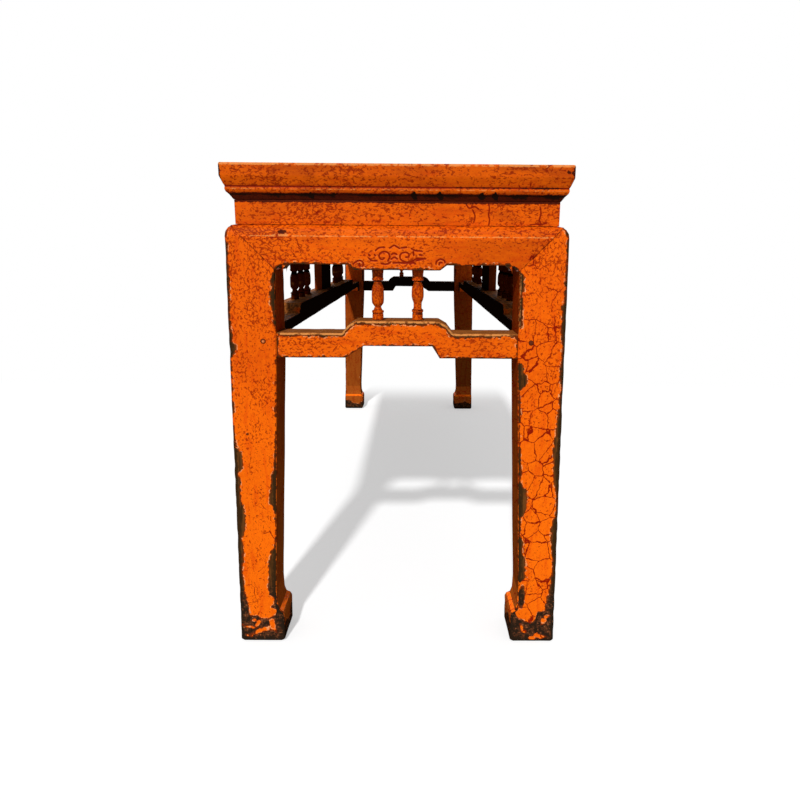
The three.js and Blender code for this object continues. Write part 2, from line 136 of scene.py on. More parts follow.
def mixColour(share, first, second):
    node = addNode(share.tree, "Mix", data_type="RGBA")
    wire(share, node.inputs["Factor"])
    wire(first, node.inputs[6])
    wire(second, node.inputs[7])
    return Value(share.tree, node.outputs[2])


def noiseNode(where, scale, detail, rough=0.55):
    node = addNode(where.tree, "TexNoise")
    wire(where, node.inputs["Vector"])
    node.inputs["Scale"].default_value = scale
    node.inputs["Detail"].default_value = detail
    node.inputs["Roughness"].default_value = rough
    return node


def spots(where, scale, detail, rough=0.55):
    return Value(where.tree, noiseNode(where, scale, detail, rough).outputs["Fac"])


def cells(where, scale, output, feature="F1"):
    node = addNode(where.tree, "TexVoronoi", feature=feature)
    wire(where, node.inputs["Vector"])
    node.inputs["Scale"].default_value = scale
    return Value(where.tree, node.outputs[output])


# Patterns on the returned place are drawn out along one axis
def drawnOut(where, along, run, across=1.0):
    node = addNode(where.tree, "Mapping")
    wire(where, node.inputs["Vector"])
    scale = [across] * 3
    scale[along] = run
    node.inputs["Scale"].default_value = scale
    return Value(where.tree, node.outputs["Vector"])


def shake(where, *moves):
    for scale, amount in moves:
        offset = addNode(where.tree, "VectorMath", operation="MULTIPLY_ADD")
        wire(Value(where.tree, noiseNode(where, scale, 2.0).outputs["Color"]), offset.inputs[0])
        offset.inputs[1].default_value = (amount, amount, amount)
        wire(where, offset.inputs[2])
        where = Value(where.tree, offset.outputs["Vector"])
    return where


def stored(tree, name):
    return Value(tree, addNode(tree, "Attribute", attribute_name=name).outputs["Fac"])


def objectPlace(tree):
    return Value(tree, addNode(tree, "TexCoord").outputs["Object"])


def oneAxis(where, axis):
    node = addNode(where.tree, "SeparateXYZ")
    wire(where, node.inputs[0])
    return Value(where.tree, node.outputs[axis])


def paint(red, green, blue):
    def linear(level):
        share = level / 255
        return share / 12.92 if share <= 0.04045 else ((share + 0.055) / 1.055) ** 2.4
    return (linear(red), linear(green), linear(blue), 1.0)


def newMaterial(name):
    material = bpy.data.materials.new(name)
    material.use_nodes = True
    tree = material.node_tree
    return material, tree, tree.nodes["Principled BSDF"]


def addBump(height, distance, strength):
    node = addNode(height.tree, "Bump")
    node.inputs["Distance"].default_value = distance
    node.inputs["Strength"].default_value = strength
    wire(height, node.inputs["Height"])
    return Value(height.tree, node.outputs["Normal"])


# Orange lacquer over brown wood, chipped at the arrises and finely cracked

lacquer = {
    "orange": (246, 105, 8),
    "deep": (214, 79, 6),
    "bright": (253, 115, 9),
    "crack": (138, 24, 2),
    "streak": (222, 76, 7),
    "stain": (158, 56, 10),
    "wood": (114, 68, 28),
    "woodDark": (54, 35, 15),
    "woodEdge": (132, 46, 6),
    "footWood": (92, 52, 30),
    "footDark": (40, 28, 18),
    "footSpeck": (176, 108, 66),
    # painted highlight on the broken lacquer edge round the chips
    "chipHighlight": (250, 172, 112),
    # painted highlight along arrises and rings
    "paintedHighlight": (244, 160, 84),
    # dirt, and painted shade in creases and under overhangs
    "grimeAndShade": (62, 15, 7),
    "seam": (110, 24, 5),
    # dark finish on hidden faces, also standing for painted shade there and for the painted shadow under the
    # bead
    "darkFinishAndShadow": (30, 15, 8),
    # rubbed wood, and painted sheen on the struts
    "golden": (192, 112, 50),
    "goldenDark": (108, 60, 25),
    # darker copies for the faces turned inward: painted shade
    "shadedOrange": (180, 74, 14),
    "shadedDeep": (130, 50, 10),
    "shadedLow": (150, 80, 26),
    "roughness": 0.46,
    "woodRoughness": 0.75,
    "innerRoughness": 0.9,
    "specular": 0.03,
    "bumpDistance": 0.0004,
    "bumpStrength": 0.6,
    "run": (0.65, 0.65, 0.75),      # how far patterns are drawn out along x, y and z
    "fibreRun": (0.5, 7.0),         # along the member and across it
    "streakRun": (0.3, 1.6),
    "lowDown": (0.40, 0.10),        # heights in metres between which the lacquer brightens
    "nearFoot": (0.085, 0.045),     # and between which the bare wood becomes the foot's
}

# Noise: scale per metre, detail and, where it isn't the usual one, roughness
pattern = {
    "fibre": (60.0, 4.0, 0.6),
    "cloud": (11.0, 3.0),
    "fleck": (300.0, 2.0),
    "grain": (720.0, 2.0, 0.7),
    "streak": (95.0, 3.0, 0.6),
    "stain": (46.0, 4.0, 0.65),
    "broad": (75.0, 4.0, 0.6),
    "middle": (170.0, 3.0, 0.6),
    "ragged": (420.0, 3.0, 0.6),
    "chipHighlight": (240.0, 1.0),
}

# Cracks: cells per metre, shakes as scale and amount in metres, and where each pattern fades in
cracking = {
    "fineCell": 270.0,
    "fineShake": ((130.0, 0.004), (480.0, 0.0032)),
    "fineLine": (0.05, 0.17),
    "finePatch": (48.0, 2.0),
    "fineNoise": (400.0, 3.0, 0.6),
    "fineFade": (0.62, 0.68),
    "fineShare": 0.8,
    "speckNoise": (520.0, 1.0),
    "speckFade": (0.68, 0.76),
    "speckShare": 0.8,
    "netCell": 56.0,
    "netShake": ((30.0, 0.009), (170.0, 0.0042)),
    "netWidth": 0.06,
    "widthNoise": (90.0, 2.0),
    "netNoise": (34.0, 2.0),
    "netFade": (0.62, 0.72),
    "flakeCell": 260.0,
    "flakeShake": (120.0, 0.004),
}


def tint(name):
    return paint(*lacquer[name])


# Short cracks and specks, denser where the stored value is high
def fineCracks(member):
    fine = stored(member.tree, "fine")
    edge = cells(shake(member, *cracking["fineShake"]), cracking["fineCell"], "Distance", "DISTANCE_TO_EDGE")
    line = 1.0 - edge.fade(*cracking["fineLine"])
    patch = (spots(member, *cracking["finePatch"]) - 0.5) * 0.4
    gate = fine * 0.20 + (patch + spots(member, *cracking["fineNoise"]))
    specks = fine * 0.10 + spots(member, *cracking["speckNoise"]) + patch * 0.5
    specks = specks.fade(*cracking["speckFade"]) * cracking["speckShare"]
    return (line * gate.fade(*cracking["fineFade"])).larger(specks)


# Wide cracks that meet as a net
def netCracks(where):
    edge = cells(shake(where, *cracking["netShake"]), cracking["netCell"], "Distance", "DISTANCE_TO_EDGE")
    width = spots(where, *cracking["widthNoise"]) * cracking["netWidth"]
    line = 1.0 - edge.fade(width * 0.5, width)
    gate = stored(where.tree, "net") * 0.5 + spots(where, *cracking["netNoise"])
    return line * gate.fade(*cracking["netFade"])


# Bare wood: fibres on the members, blotches on the feet, dark at the very arris
def bareWood(where, fibreTone, middle, ragged, border):
    nearFoot = oneAxis(where, "Z").fade(*lacquer["nearFoot"])
    dark = mixColour(nearFoot, tint("woodDark"), tint("footDark"))
    clear = mixColour(nearFoot, tint("wood"), tint("footWood"))
    outermost = (middle * 7.0 + stored(where.tree, "edge")).fade(4.6, 1.4)
    blotch = (middle + ragged).fade(-0.10, 0.16)
    lightShare = (blotch - fibreTone) * nearFoot + fibreTone
    colour = mixColour(lightShare * (1.0 - outermost), dark, clear)
    speck = (middle * 0.5 + ragged).fade(0.13, 0.21)
    colour = mixColour(speck * nearFoot * 0.7, colour, tint("footSpeck"))
    justInside = 1.0 - border.fade(0.4, 2.2)
    return mixColour(justInside * 0.7, colour, tint("woodEdge"))


def lacquerMaterial(name, along, inner=False):
    material, tree, shader = newMaterial(name)
    where = objectPlace(tree)
    run = lacquer["run"][along]
    member = drawnOut(where, along, run)
    fibreTone = spots(drawnOut(where, along, *lacquer["fibreRun"]), *pattern["fibre"]).fade(0.35, 0.68)

    # base tone
    cloud = spots(member, *pattern["cloud"])
    fleck = spots(member, *pattern["fleck"])
    # the inner look is a darker copy of the orange: painted shade
    deep = tint("shadedDeep" if inner else "deep")
    orange = tint("shadedOrange" if inner else "orange")
    colour = mixColour((fleck * 0.4 + cloud * 0.8).fade(0.36, 0.72), deep, orange)
    lowDown = oneAxis(where, "Z").fade(*lacquer["lowDown"])
    if inner:
        colour = mixColour(fibreTone * 0.35, colour, deep)
    colour = mixColour(lowDown * 0.7, colour, tint("shadedLow" if inner else "bright"))
    grain = spots(member, *pattern["grain"]).fade(0.50, 0.66)
    streak = spots(drawnOut(where, along, *lacquer["streakRun"]), *pattern["streak"]).fade(0.50, 0.66)
    colour = mixColour(grain * 0.45 + streak * 0.5, colour, deep if inner else tint("streak"))
    stain = spots(drawnOut(where, along, run * run), *pattern["stain"]).fade(0.44, 0.66)
    colour = mixColour(stain * stored(tree, "stain"), colour, tint("stain"))
    cracks = (fineCracks(member) * cracking["fineShare"]).larger(netCracks(where))
    colour = mixColour(cracks, colour, tint("crack"))

    # stored values below are millimetres inside each border
    broad = spots(where, *pattern["broad"]) - 0.5
    middle = spots(where, *pattern["middle"]) - 0.5
    ragged = spots(where, *pattern["ragged"]) - 0.5
    seam = (ragged * 1.6 + stored(tree, "seam")).fade(-0.2, 0.3)
    colour = mixColour(seam * middle.fade(-0.06, 0.03) * 0.8, colour, tint("seam"))
    cut = (ragged * 0.7 + stored(tree, "cut")).fade(-0.15, 0.25)
    colour = mixColour(cut * 0.95, colour, tint("crack"))
    # painted shade in creases and under overhangs, with some dirt
    grimeAndShade = (middle * 3.0 + (ragged * 2.4 + stored(tree, "grimeAndShade"))).fade(-0.25, 0.35)
    colour = mixColour(grimeAndShade * 0.94, colour, tint("grimeAndShade"))
    shade = addNode(tree, "VectorMath", operation="SCALE")
    wire(colour, shade.inputs[0])
    wire(stored(tree, "shade") + 1.0, shade.inputs["Scale"])
    colour = Value(tree, shade.outputs[0])

    # chipped arrises
    flake = addNode(tree, "SeparateColor")
    wire(cells(shake(where, cracking["flakeShake"]), cracking["flakeCell"], "Color"), flake.inputs[0])
    border = Value(tree, flake.outputs[0]) * 1.4 + (stored(tree, "worn") - 0.7)
    border = middle * 5.0 + (broad * 5.0 + border)
    bare = border.fade(0.0, 0.25)
    # painted highlight on the broken lacquer edge round each chip
    chipHighlight = border.fade(-1.1, -0.4) * (1.0 - bare)
    chipHighlightGate = spots(where, *pattern["chipHighlight"]).fade(0.50, 0.62) * stored(tree, "edge").fade(1.2, 2.4)
    colour = mixColour(chipHighlight * chipHighlightGate * 0.8, colour, tint("chipHighlight"))
    colour = mixColour(bare, colour, bareWood(where, fibreTone, middle, ragged, border))

    # rubbed golden brown on the stretchers' tops, and a painted sheen on the struts' bellies
    rubbedAndSheen = (broad * 0.8 + stored(tree, "rubbedAndSheen")).fade(0.3, 0.6)
    colour = mixColour(rubbedAndSheen, colour, mixColour(fibreTone, tint("goldenDark"), tint("golden")))

    # painted highlight along arrises and rings; dark finish, which also stands for painted shade, on hidden
    # faces and as the painted shadow under the bead
    paintedHighlight = (ragged * 1.8 + stored(tree, "paintedHighlight")).fade(-0.1, 0.4) * middle.fade(-0.12, 0.0)
    colour = mixColour(paintedHighlight * 0.65, colour, tint("paintedHighlight"))
    darkFinishAndShadow = (ragged * 1.2 + stored(tree, "dark")).fade(0.2, 0.8)
    colour = mixColour(darkFinishAndShadow, colour, tint("darkFinishAndShadow"))
    wire(colour, shader.inputs["Base Color"])

    if inner:
        shader.inputs["Specular IOR Level"].default_value = 0.0
        shader.inputs["Roughness"].default_value = lacquer["innerRoughness"]
    else:
        shader.inputs["Specular IOR Level"].default_value = lacquer["specular"]
        dull = bare.larger(darkFinishAndShadow.larger(rubbedAndSheen * 0.4)) * (lacquer["woodRoughness"] - lacquer["roughness"])
        wire(dull + (cloud * 0.12 + (lacquer["roughness"] - 0.06)), shader.inputs["Roughness"])

    height = fleck * 0.15 + (fibreTone * (bare * 0.35) + (cracks * -0.5 - bare))
    wire(addBump(height, lacquer["bumpDistance"], lacquer["bumpStrength"]), shader.inputs["Normal"])
    return material


# Each member uses an open look outside and, on the faces turned inward, a matte copy painted darker as shade
def lacquerPair(name, along):
    return lacquerMaterial(name, along), lacquerMaterial(name + "Inner", along, True)


# Faces that meet another piece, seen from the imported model

meshLook = {
    "weld": 0.001 * mm,
    "nearby": 0.01 * mm,
    "flat": math.radians(0.4),      # faces closer than this to one plane become one
    "jointReach": 0.7 * mm,
    "arrisAngle": math.radians(25),
    "valleyAngle": math.radians(20),
    "creaseAngle": math.radians(38),
    "arrisSteps": 3,
    "batch": 4000,                  # points compared with the arrises in one go
    "farInside": 50.0,              # mm, where a border isn't near
}


def frameTree():
    vertices, faces = [], []
    for name in sorted(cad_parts):
        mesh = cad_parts[name].data
        start = len(vertices)
        vertices.extend(v.co.copy() for v in mesh.vertices)
        faces.extend([start + i for i in p.vertices] for p in mesh.polygons)
    return BVHTree.FromPolygons(vertices, faces)


allFaces = frameTree()


def facesAnother(point, normal):
    hit = allFaces.ray_cast(point + normal * meshLook["nearby"], normal, meshLook["jointReach"])
    return hit[0] is not None


def copyNode(name):
    bm = bmesh.new()
    bm.from_mesh(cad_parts[name].data)
    bmesh.ops.remove_doubles(bm, verts=bm.verts, dist=meshLook["weld"])
    bmesh.ops.dissolve_limit(bm, angle_limit=meshLook["flat"], verts=bm.verts, edges=bm.edges)
    return bm


def markJoints(bm):
    layer = bm.faces.layers.int.new("joint")
    for face in bm.faces:
        middle = face.calc_center_median()
        samples = [middle] + [middle.lerp(v.co, 0.6) for v in face.verts]
        hits = sum(facesAnother(point, face.normal) for point in samples)
        face[layer] = 1 if hits > len(samples) / 2 else 0
    return layer


# Convex edges between two open faces
def openArrises(bm, layer):
    found = []
    for edge in bm.edges:
        if not edge.is_manifold or not edge.is_convex:
            continue
        if edge.calc_face_angle() < meshLook["arrisAngle"]:
            continue
        if any(face[layer] for face in edge.link_faces):
            continue
        found.append(edge)
    return found


def softenArrises(bm, edges, width, segments):
    if edges:
        bmesh.ops.bevel(bm, geom=edges, offset=width, offset_type="OFFSET", segments=segments, profile=0.5,
                        affect="EDGES", material=-1, clamp_overlap=True)


# Cuts a mesh into slices along one axis; each cut only looks at what is still uncut
def cutSlices(bm, axis, spacing):
    places = [v.co[axis] for v in bm.verts]
    low, high = min(places), max(places)
    count = max(1, round((high - low) / spacing))
    normal = Vector((0, 0, 0))
    normal[axis] = 1
    rest = bm.verts[:] + bm.edges[:] + bm.faces[:]
    for step in range(1, count):
        place = low + (high - low) * step / count
        result = bmesh.ops.bisect_plane(bm, geom=rest, dist=meshLook["weld"], plane_co=normal * place,
                                        plane_no=normal)
        rest = []
        for item in result["geom"]:
            if isinstance(item, bmesh.types.BMVert):
                if item.co[axis] > place - meshLook["nearby"]:
                    rest.append(item)
            elif max(v.co[axis] for v in item.verts) > place + meshLook["nearby"]:
                rest.append(item)


def sliceAll(bm, spacing):
    sizes = []
    for axis in range(3):
        places = [v.co[axis] for v in bm.verts]
        sizes.append((max(places) - min(places), axis))
    for size, axis in sorted(sizes, reverse=True):
        cutSlices(bm, axis, spacing)


# Distance from each point to the nearest arris, and which arris it is
def nearestArris(points, arrises):
    if not arrises:
        return np.full(len(points), 1.0), np.zeros(len(points), int)
    start = np.array([a[0] for a in arrises])
    run = np.array([a[1] for a in arrises]) - start
    length2 = np.maximum((run ** 2).sum(1), 1e-12)
    distance = np.empty(len(points))
    which = np.empty(len(points), int)
    for first in range(0, len(points), meshLook["batch"]):
        batch = slice(first, first + meshLook["batch"])
        part = points[batch, None, :] - start[None]
        share = np.clip((part * run[None]).sum(2) / length2, 0, 1)
        gap = np.linalg.norm(part - share[..., None] * run[None], axis=2)
        which[batch] = gap.argmin(1)
        distance[batch] = gap.min(1)
    return distance, which


def wave(points, scale, seed):
    shift = Vector((seed * 3.17, seed * 1.31, seed * 2.23))
    return np.array([noise.noise(Vector(p) * scale + shift) for p in points])


def readTable(table, at):
    rows = sorted(table)
    return np.interp(at, [r[0] for r in rows], [r[1] for r in rows])


# How much of a rise from 0 to 1 is done at each of the given numbers
def rise(numbers, start, length):
    return np.clip((numbers - start) / length, 0, 1)


# A member starts as its merged CAD solid, then gets soft arrises, a fine grid and a slightly uneven surface

valueNames = ("worn", "edge", "fine", "net", "stain", "cut", "seam", "grimeAndShade", "paintedHighlight", "shade", "rubbedAndSheen",
              "dark")


# Nothing worn, cut or dirty anywhere
def plainValues(count):
    values = {key: np.zeros(count) for key in valueNames}
    for key in ("worn", "seam", "cut", "grimeAndShade", "paintedHighlight"):
        values[key] -= meshLook["farInside"]
    return values


def storeValues(mesh, values):
    for key, numbers in values.items():
        data = mesh.attributes.new(key, "FLOAT", "POINT")
        data.data.foreach_set("value", np.asarray(numbers).astype(np.float32))


def markCreases(bm):
    for edge in bm.edges:
        if edge.is_manifold and edge.calc_face_angle() > meshLook["creaseAngle"]:
            edge.smooth = False
    for face in bm.faces:
        face.smooth = True


def meshFrom(bm, name):
    mesh = bpy.data.meshes.new(name)
    bm.to_mesh(mesh)
    bm.free()
    return mesh


def makePiece(mesh, materials):
    piece = showInScene(mesh.name, mesh)
    for material in materials:
        piece.data.materials.append(material)
    return piece


def edgePlaces(edges):
    return [(tuple(e.verts[0].co), tuple(e.verts[1].co)) for e in edges]


# Quads whose middle lies in the box are divided into a finer grid
def refine(bm, low, high, cuts):
    edges = set()
    for face in bm.faces:
        middle = face.calc_center_median()
        if all(a < m < b for a, m, b in zip(low, middle, high)):
            edges.update(face.edges)
    ordered = sorted(edges, key=lambda e: e.index)
    bmesh.ops.subdivide_edges(bm, edges=ordered, cuts=cuts, use_grid_fill=True)


class Member:
    def __init__(self, name, spacing, arris, seed, details=(), reshape=None):
        self.name = name
        self.seed = seed
        self.bm = copyNode(name)
        layer = markJoints(self.bm)
        edges = openArrises(self.bm, layer)
        self.arrises = edgePlaces(edges)
        self.seams = edgePlaces(e for e in self.bm.edges if len({f[layer] for f in e.link_faces}) == 2)
        self.valleys = edgePlaces(e for e in self.bm.edges if e.is_manifold and not e.is_convex
                                  and e.calc_face_angle() > meshLook["valleyAngle"])
        self.soften(edges, arris if callable(arris) else (lambda edge: arris))
        sliceAll(self.bm, spacing)
        for low, high, cuts in details:
            self.bm.edges.index_update()
            refine(self.bm, low, high, cuts)
        if reshape:
            reshape(self.bm)
        self.bm.normal_update()
        self.points = np.array([v.co for v in self.bm.verts])
        self.normals = np.array([v.normal for v in self.bm.verts])
        self.fixed = np.array([any(f[layer] for f in v.link_faces) for v in self.bm.verts])
        distance, self.which = nearestArris(self.points, self.arrises)
        self.fromArris = distance / mm
        self.values = plainValues(len(self.points))
        self.values["edge"] = self.fromArris
        self.values["seam"] = 0.45 - nearestArris(self.points, self.seams)[0] / mm
        # outward directions of the faces that get the inner look, a copy painted darker as shade
        self.inward = []

    # widest arrises first; each bevel remakes its neighbours, so the next ones are found again by place
    def soften(self, edges, width):
        groups = {}
        for edge in edges:
            groups.setdefault(round(width(edge) / mm, 2), []).append(edge)
        keep = {size: edgePlaces(members) for size, members in groups.items()}
        for size in sorted(keep, reverse=True):
            members = self.findEdges(keep[size]) if len(keep) > 1 else groups[size]
            softenArrises(self.bm, members, size * mm, meshLook["arrisSteps"])

    def findEdges(self, wanted):
        found = []
        for edge in self.bm.edges:
            a, b = edge.verts[0].co, edge.verts[1].co
            for start, end in wanted:
                s, e = Vector(start), Vector(end)
                run = e - s
                if run.length < 1e-9 or (b - a).cross(run).length > 1e-3 * (b - a).length * run.length:
                    continue
                middle = (a + b) / 2
                share = (middle - s).dot(run) / run.length_squared
                if 0 < share < 1 and (middle - s - run * share).length < 2 * meshLook["weld"]:
                    found.append(edge)
                    break
        return found

    def waves(self, scale, offset=0):
        return wave(self.points, scale, self.seed + offset)

    # widens a stored area to take in another
    def widen(self, key, numbers):
        self.values[key] = np.maximum(self.values[key], numbers)

    def unevenness(self, amount):
        move = self.waves(16.0) * amount
        move += self.waves(80.0, 7) * amount * 0.25
        move[self.fixed] = 0
        self.points += self.normals * move[:, None]

    def sink(self, depth):
        depth[self.fixed] = 0
        self.points -= self.normals * depth[:, None]

    # nicks eaten into the arrises where the lacquer is gone
    def nicks(self, depth):
        near = np.clip(1 - self.fromArris / 2.5, 0, 1)
        bare = np.clip(self.values["worn"] / 2.0, 0, 1)
        self.sink(depth * near * bare * np.clip(self.waves(90.0, 13) + 0.15, 0, 1) * 2)

    def finish(self, materials, newName):
        for vertex, place in zip(self.bm.verts, self.points):
            vertex.co = place
        self.bm.normal_update()
        markCreases(self.bm)
        for face in self.bm.faces:
            if any(face.normal.dot(Vector(way)) > 0.8 for way in self.inward):
                face.material_index = 1
        mesh = meshFrom(self.bm, newName)
        storeValues(mesh, self.values)
        piece = makePiece(mesh, materials)
        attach(piece, "root")
        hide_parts(self.name)


# Legs

legLook = {
    "spacing": 2.0 * mm,
    "rearSpacing": 3.0 * mm,
    "arris": 1.0 * mm,
    "uneven": 0.35 * mm,
    "nicks": 0.6 * mm,
    "half": 23.0 * mm,
    "fineBelow": 72.0 * mm,
    # bared width in mm by height in mm, read off the front legs
    "leftOuter": [(433, 1.2), (425, 2.2), (350, 2.0), (341, 2.4), (336, 3), (332, 1), (329, 5.5), (320, 5.5),
                  (316, 1), (240, 1), (222, 3), (217, 8), (200, 8), (195, 3), (186, 5), (165, 5), (152, 9),
                  (134, 9), (124, 4), (105, 6), (85, 4), (60, 5), (45, 9)],
    "leftInner": [(404, -3), (399, 2), (391, 3), (383, 3.4), (376, 5), (371, 5), (364, 3), (356, 1.5),
                  (345, 0.6), (342, -3), (316, -3), (314, 0.4), (240, 0.4), (225, 1.5), (200, 2), (186, 6),
                  (163, 7), (150, 1), (118, 1), (107, 5), (95, 8), (57, 8), (53, 2), (46, 2), (43, 6),
                  (41, 6), (39, 2), (33, 2), (30, 4)],
    "rightInner": [(404, -3), (399, 3), (390, 4), (375, 3), (360, 3.4), (346, 2.4), (342, -3), (316, -3),
                   (314, 1), (309, 5), (302, 5), (298, 9), (290, 8), (284, 1), (262, 2), (230, 1.5), (205, 3),
                   (186, 2), (177, 8), (155, 9), (146, 3), (128, 2), (118, 5), (106, 4), (98, 8), (90, 7),
                   (78, 7), (72, 1), (45, 1)],
    "rightOuter": [(433, 1.5), (378, 1.5), (368, 4), (350, 3.5), (325, 2.5), (272, 3), (245, 5), (215, 7),
                   (195, 6), (170, 2), (150, 2), (140, 6), (118, 7), (100, 3), (80, 4), (60, 6), (45, 10)],
    "other": [(433, 0.6), (350, 0.8), (250, 1.2), (210, 3), (180, 5), (140, 4), (100, 5), (70, 5), (45, 8)],
    "inward": [(62, 0.6), (330, 0.5), (350, 1.6)],
    # height in mm below which the foot is bare, by distance from its outer arris
    "leftFoot": [(0, 62), (7, 45), (10, 33), (15, 33), (20, 31), (23, 28.5), (28, 29), (36, 31), (39, 33),
                 (41, 45), (48, 50)],
    "rightFoot": [(0, 62), (3.4, 55), (7, 38.5), (12, 38.5), (18, 38), (20, 31), (24, 24), (32, 25.5),
                  (38, 27.5), (41, 32), (44, 40), (48, 44)],
    "footBare": 34.0,
    "innerBare": 20.0,
    "footNoise": 14.0,
    "footDeepest": 6.0,
    # lacquer left on the bare feet: x, z, half width, half height, tilt in degrees
    "leftLeft": [(-136.1, 19.0, 2.6, 7.0, 10), (-150.0, 13.4, 9.0, 2.2, 25), (-161.0, 17.9, 4.5, 1.1, -12),
                 (-156.8, 25.8, 2.0, 1.4, 0), (-152.0, 23.6, 4.8, 1.5, 50), (-165.0, 8.0, 1.6, 1.4, 0)],
    "rightLeft": [(159.8, 26.1, 2.8, 3.2, 0), (163.0, 31.5, 2.2, 2.2, 0), (156.2, 7.4, 4.6, 2.2, 0),
                  (148.0, 5.6, 3.0, 1.6, 0), (138.6, 13.5, 2.6, 1.5, -30), (136.4, 17.5, 1.2, 2.6, 0)],
    # bare patches inside the lacquer
    "rightBare": [(134.7, 55.6, 3.9, 14.0, 0)],
    "leftBare": [(-152.8, 237.2, 1.6, 1.6, 0)],
    # heights between which a stretcher's end covers the leg, and how far behind the arris it closes
    "stretcherFrom": 317.0,
    "stretcherTo": 341.0,
    "behind": 0.1 * mm,
    "flareTop": 62.0,
    "flareShade": {"left": 0.25, "right": 0.9},
    "slantHeights": (40.0 * mm, 66.0 * mm),
    "highlightHeights": (334.0, 404.0),
    "shade": {
        "left": [(280, 0.06), (440, -0.02)],
        "right": [(200, 0.08), (400, 0.08), (440, 0.0)],
        "rear": [(50, 0.0), (315, 0.0), (365, 1.0)],
    },
    "fine": {
        "left": [(40, 0.2), (200, 0.3), (300, 0.5), (440, 0.8)],
        "right": [(40, 0.15), (200, 0.2), (330, 0.4), (440, 0.8)],
    },
    "net": {
        "left": [(40, 0.1), (120, 0.1), (230, 0.05), (300, 0.0)],
        "right": [(60, 0.7), (200, 0.8), (330, 0.75), (400, 0.2)],
    },
}


# Millimetres inside a tilted oval on the front face
def oval(x, z, row):
    centreX, centreZ, wide, high, tilt = row
    angle = math.radians(tilt)
    across = (x - centreX) * math.cos(angle) + (z - centreZ) * math.sin(angle)
    upward = (z - centreZ) * math.cos(angle) - (x - centreX) * math.sin(angle)
    return (1 - np.sqrt((across / wide) ** 2 + (upward / high) ** 2)) * min(wide, high)


# For each arris, whether it lies on the far side of the leg in x and in y, from the bench's outer corner
def arrisRoles(member, sideX, sideY):
    low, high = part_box(member.name)
    outer = np.array([high.x if sideX > 0 else low.x, high.y if sideY > 0 else low.y])
    middles = np.array([(np.array(start) + np.array(end)) / 2 for start, end in member.arrises])
    return np.abs(middles[:, :2] - outer) > legLook["half"]


# The soft inner arris is filled out square where a stretcher is let in
def squareUp(member, covered, roles):
    for (start, end), (farX, farY) in zip(member.arrises, roles):
        if not farX or farY:
            continue
        start, end = np.array(start), np.array(end)
        run = end - start
        if abs(run[2]) < 20 * mm:
            continue
        share = (member.points[:, 2] - start[2]) / run[2]
        onArris = start + share[:, None] * run
        offset = np.abs(member.points - onArris)
        gap = np.linalg.norm(offset, axis=1)
        near = covered & (share > 0) & (share < 1) & (gap < 0.9 * legLook["arris"])
        # the row on the inner side stays just behind the arris, so that the corner is sharp
        onArris[offset[:, 1] > offset[:, 0], 1] += legLook["behind"]
        member.points[near] = onArris[near]


# Border of the bare wood on a front leg's foot
def frontFoot(member, side, sideX):
    x, y, height = (member.points / mm).T
    levels = np.unique(np.round(height))
    outline = [max(sideX * x[np.abs(height - level) < 2]) for level in levels]
    fromOuter = np.interp(height, levels, outline) - sideX * x
    border = readTable(legLook[side + "Foot"], fromOuter) - height + 3 * member.waves(160.0, 3)
    return np.clip(border, -50, legLook["footDeepest"])


# Bare patches in a front leg's lacquer, and flakes of lacquer left on its foot
def addPatches(member, side, worn, facing):
    x, y, height = (member.points / mm).T
    for row in legLook[side + "Bare"]:
        worn = np.where(facing, np.maximum(worn, 2 * oval(x, height, row)), worn)
    for row in legLook[side + "Left"]:
        flake = 1.6 * oval(x, height, row) + 0.2 + 2.6 * member.waves(230.0, 9)
        worn = np.where(facing & (flake > -3), np.minimum(worn, -flake), worn)
    return worn


